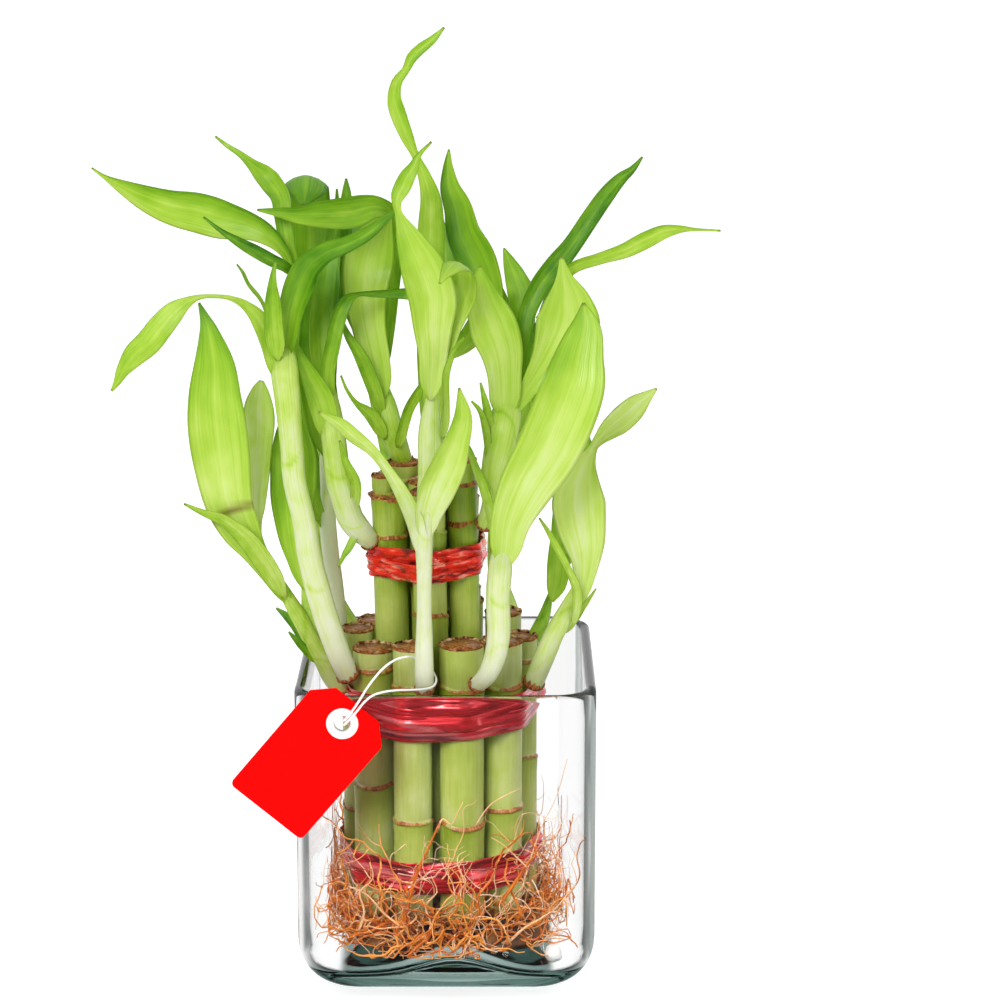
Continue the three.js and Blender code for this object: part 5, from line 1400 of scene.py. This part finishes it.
def floor_rings(inside, lift):
    """Rings over the inner floor, from its middle to the wall. It is raised where it swells
    against the front and back."""
    outline = [(3, 15.5), (14, 15.3), (20, 14.7), (25, 13.2), (30, 11.2), (34, 9), (37.5, 7.7),
               (inside - 4, 8.2), (inside - 2.4, 9.3), (inside - 1.2, 10.9), (inside - 0.4, 13.2),
               (inside, 16)]
    rings = square_rings(outline)
    share = np.clip((np.array([half for half, _ in outline]) - 28) / 14, 0, 1)
    rings[..., 2] += lift + SWELL_HEIGHT * share[:, None] * bell(rings[..., 0] - SWELL_X, SWELL_SPREAD)
    return rings


def wall_outline(half, height):
    """Half width and height of each ring: up the outside, over the rim and down the inside."""
    bend = half - VASE_FOOT
    lip = VASE_WALL / 2
    outline = [(3, 0.6), (14, 0.5), (VASE_FOOT - 4, 0.2), (VASE_FOOT, 0.0)]
    for angle in np.radians(range(8, 90, 9)):
        outline.append((VASE_FOOT + bend * math.sin(angle), VASE_HEEL * (1 - math.cos(angle))))
    outline += [(half, z) for z in np.linspace(VASE_HEEL, height - VASE_RIM - 0.2, 12)]
    for angle in np.radians(range(15, 180, 15)):
        outline.append((half - lip + lip * math.cos(angle), height - VASE_RIM * (1 - math.sin(angle))))
    inside = half - VASE_WALL
    return outline + [(inside, z) for z in np.linspace(height - VASE_RIM - 0.2, FLOOR_TOP, 12)]


def make_vase():
    _, (half, _, height) = corners("glass_vase", ORIGIN)
    floor = floor_rings(half - VASE_WALL, 0.0)
    rings = np.concatenate([square_rings(wall_outline(half, height)), floor[::-1]])
    skin = Skin(ORIGIN)
    skin.loft(rings, rings / 10)
    skin.piece("vase", [vase_material()], "glass_vase")


def make_water():
    """The body of water, with a meniscus that climbs the glass."""
    _, (half, _, level) = corners("water", ORIGIN)
    side = half + 0.1
    outline = [(side, z) for z in np.linspace(FLOOR_TOP, level + 0.6, 8)]
    outline += [(side - 0.5, level + 0.2), (side - 1.4, level - 0.3), (side - 4, level - 0.5),
                (20, level - 0.5), (3, level - 0.5)]
    rings = np.concatenate([floor_rings(side, 0.4), square_rings(outline)])
    skin = Skin(ORIGIN)
    skin.loft(rings, rings / 10)
    water = make_clear(Paint("water"), WATER_BEND)
    skin.piece("water_body", [water], "water")


def make_pebble(node, material, seed):
    """A smooth rounded stone with a slightly uneven surface."""
    low, high = corners(node)
    middle, half = (low + high) / 2, (high - low) / 2
    turn = turns(PEBBLE_SIDES)
    steepest = math.pi / 2 - PEBBLE_POLE
    tilt = np.linspace(-steepest, steepest, PEBBLE_RINGS)[:, None]
    way = columns(np.cos(tilt) * np.cos(turn), np.cos(tilt) * np.sin(turn), np.sin(tilt))
    rings = way * half * (1 + 0.07 * wobble(way, 1.3, seed))[..., None] + middle
    skin = Skin()
    skin.loft(rings, way)
    skin.piece("dressed_" + node, [material], node)


def make_pebbles():
    bead = make_clear(Paint("bead"), GLASS_BEND, "f4f8f6")
    make_pebble("white_pebble", pebble_material(), 1.0)
    make_pebble("clear_bead_left", bead, 2.0)
    make_pebble("clear_bead_right", bead, 5.0)


# ---------------------------------------------------------------- tag and string

EYELET_SIDES = 64
EYELET_HOLE = 2.8  # radius

# The route of the string: out of the eyelet, up and behind the front shoot, and back again.
STRING_ROUTE = [
    (-34.9, -51.6, 98.9), (-34.5, -53.3, 99.4), (-33.2, -54.2, 100.9), (-31.5, -54, 103.2),
    (-29.2, -53.2, 106.5), (-26.2, -50.6, 110.8), (-21.8, -47, 115.4), (-17.6, -43.5, 117.6),
    (-14.2, -40, 117.6), (-11.6, -36.6, 116.4), (-9.2, -34.2, 114.6), (-7, -33.5, 112.4),
    (-4.9, -34.2, 110.2), (-4, -36.8, 108.4), (-5, -40.2, 107.3), (-8, -42.4, 107),
    (-12, -44, 107.2), (-16.5, -46, 107.7), (-21, -48, 107.8), (-24.8, -50.4, 107.3),
    (-27.6, -52.4, 105.6), (-29.9, -53.9, 103.1), (-32.2, -54.4, 100.4), (-33.9, -53.9, 98.6),
    (-34.5, -52.6, 97.6),
]
STRING_DIAMETER = 0.8
STRING_TWIST = 2.6  # length of one turn of its two plies
STRING_STEPS = 300
STRING_SIDES = 16


def make_eyelet():
    """A smooth rolled ring pressed through the card."""
    low, high = corners("tag_eyelet")
    middle, (outer, back, _) = (low + high) / 2, (high - low) / 2
    inner = EYELET_HOLE
    profile = [(inner, -back), (outer - 0.9, -back), (outer - 0.7, -back + 0.35),
               (inner + 0.4, -back + 0.4), (inner + 0.35, back - 0.55), (outer - 0.05, back - 0.55),
               (outer, back - 0.35), (outer - 0.25, back - 0.1), (outer - 1.2, back),
               (inner + 0.7, back), (inner + 0.2, back - 0.1), (inner, back - 0.4)]
    radius, deep = np.array(profile).T
    turn = turns(EYELET_SIDES)[:, None]
    rings = middle + columns(radius * np.cos(turn), -deep, radius * np.sin(turn))
    skin = Skin()
    skin.loft(rings, rings / 3, joined=True)
    skin.piece("eyelet", [eyelet_material()], "tag_eyelet")


def make_string():
    """Two plies twisted into one cord: its section has two lobes that turn along it."""
    at = smooth_line(STRING_ROUTE, STRING_STEPS)
    far = distance_along(at)
    turn = turns(STRING_SIDES)
    twist = turn + FULL_TURN * far[:, None] / STRING_TWIST
    radius = STRING_DIAMETER / 2 * (0.86 + 0.14 * np.abs(np.cos(twist)))
    ways = sweep_frames(at, carried=True)
    rings = section_rings(at, *ways, radius * np.cos(turn), radius * np.sin(turn))
    skin = Skin()
    skin.loft(rings, columns(np.cos(twist), np.sin(twist), far[:, None]))
    string = skin.piece("string", [string_material()], "tag_string")


def dress_card():
    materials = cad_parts["tag_card"].data.materials
    materials.clear()
    materials.append(card_material())


# ---------------------------------------------------------------- stage

FLOOR_REACH = 14.0  # metres
FLOOR_DROP = 0.2
FLOOR_GLOW = 0.4
GLASS_LIFT = 1.17  # makes up for what the glass walls reflect away
LIGHT_TARGET = (0, 0, 0.16)  # the lights' places and sizes are in metres


def make_floor():
    paint = Paint("floor")
    grain = paint.noise(paint.place(), 40.0, 2.0)
    paint.set(Base_Color=paint.mix(grain, "fbfbfb", "f7f7f7"), Roughness=0.9,
              Specular_IOR_Level=0.0, Emission_Color=WHITE, Emission_Strength=FLOOR_GLOW)
    mesh = bpy.data.meshes.new("floor")
    square = [(-1, -1), (1, -1), (1, 1), (-1, 1)]
    mesh.from_pydata([(x * FLOOR_REACH, y * FLOOR_REACH, 0) for x, y in square], [], [(0, 1, 2, 3)])
    mesh.materials.append(paint.material)
    floor = bpy.data.objects.new("floor", mesh)
    floor.location.z = -FLOOR_DROP * MM
    floor.visible_glossy = False
    floor.visible_transmission = False
    bpy.context.scene.collection.objects.link(floor)


def make_world():
    """White to the camera, also straight through the whole vase. To all else it is bright behind
    and above and dim in front."""
    world = bpy.data.worlds.new("studio")
    world.use_nodes = True
    sky = Nodes(world.node_tree)
    way = sky.node("ShaderNodeTexCoord", out="Generated")
    slope = sky.node("ShaderNodeVectorMath", {0: way, 1: (0.0, 1.0, 0.7)}, "Value",
                     operation="DOT_PRODUCT")
    around = sky.span(slope, -0.3, 0.6, 0.1, 1.0)
    turned = sky.add(sky.light_path("Diffuse Depth"), sky.light_path("Glossy Depth"))
    faces = sky.less(sky.light_path("Transmission Depth"), sky.times(turned, 10.0))
    through = sky.times(sky.math("GREATER_THAN", faces, NEAR_FACES), GLASS_LIFT)
    seen = sky.math("MAXIMUM", sky.math("MAXIMUM", around, through), sky.light_path("Is Camera Ray"))
    background = world.node_tree.nodes["Background"]
    sky.put(background.inputs["Strength"], seen)
    sky.put(background.inputs["Color"], WHITE)
    bpy.context.scene.world = world


def make_light(name, place, size, power):
    data = bpy.data.lights.new(name, "AREA")
    data.shape = "RECTANGLE"
    data.size, data.size_y = size
    data.energy = power
    light = bpy.data.objects.new(name, data)
    light.location = place
    way = Vector(LIGHT_TARGET) - Vector(place)
    light.rotation_euler = way.to_track_quat("-Z", "Y").to_euler()
    bpy.context.scene.collection.objects.link(light)


def make_stage():
    make_floor()
    make_world()
    make_light("key", (-0.45, -1.35, 1.0), (0.6, 0.6), 17)
    make_light("fill", (1.1, -1.0, 0.6), (0.5, 0.8), 4)
    bpy.context.scene.view_settings.view_transform = "Standard"


# ---------------------------------------------------------------- assembly


def main():
    make_camera()
    make_eyelet()
    make_string()
    canes = make_canes()
    make_ties(canes)
    make_shoots()
    make_roots()
    make_vase()
    make_water()
    make_pebbles()
    dress_card()
    make_stage()


main()
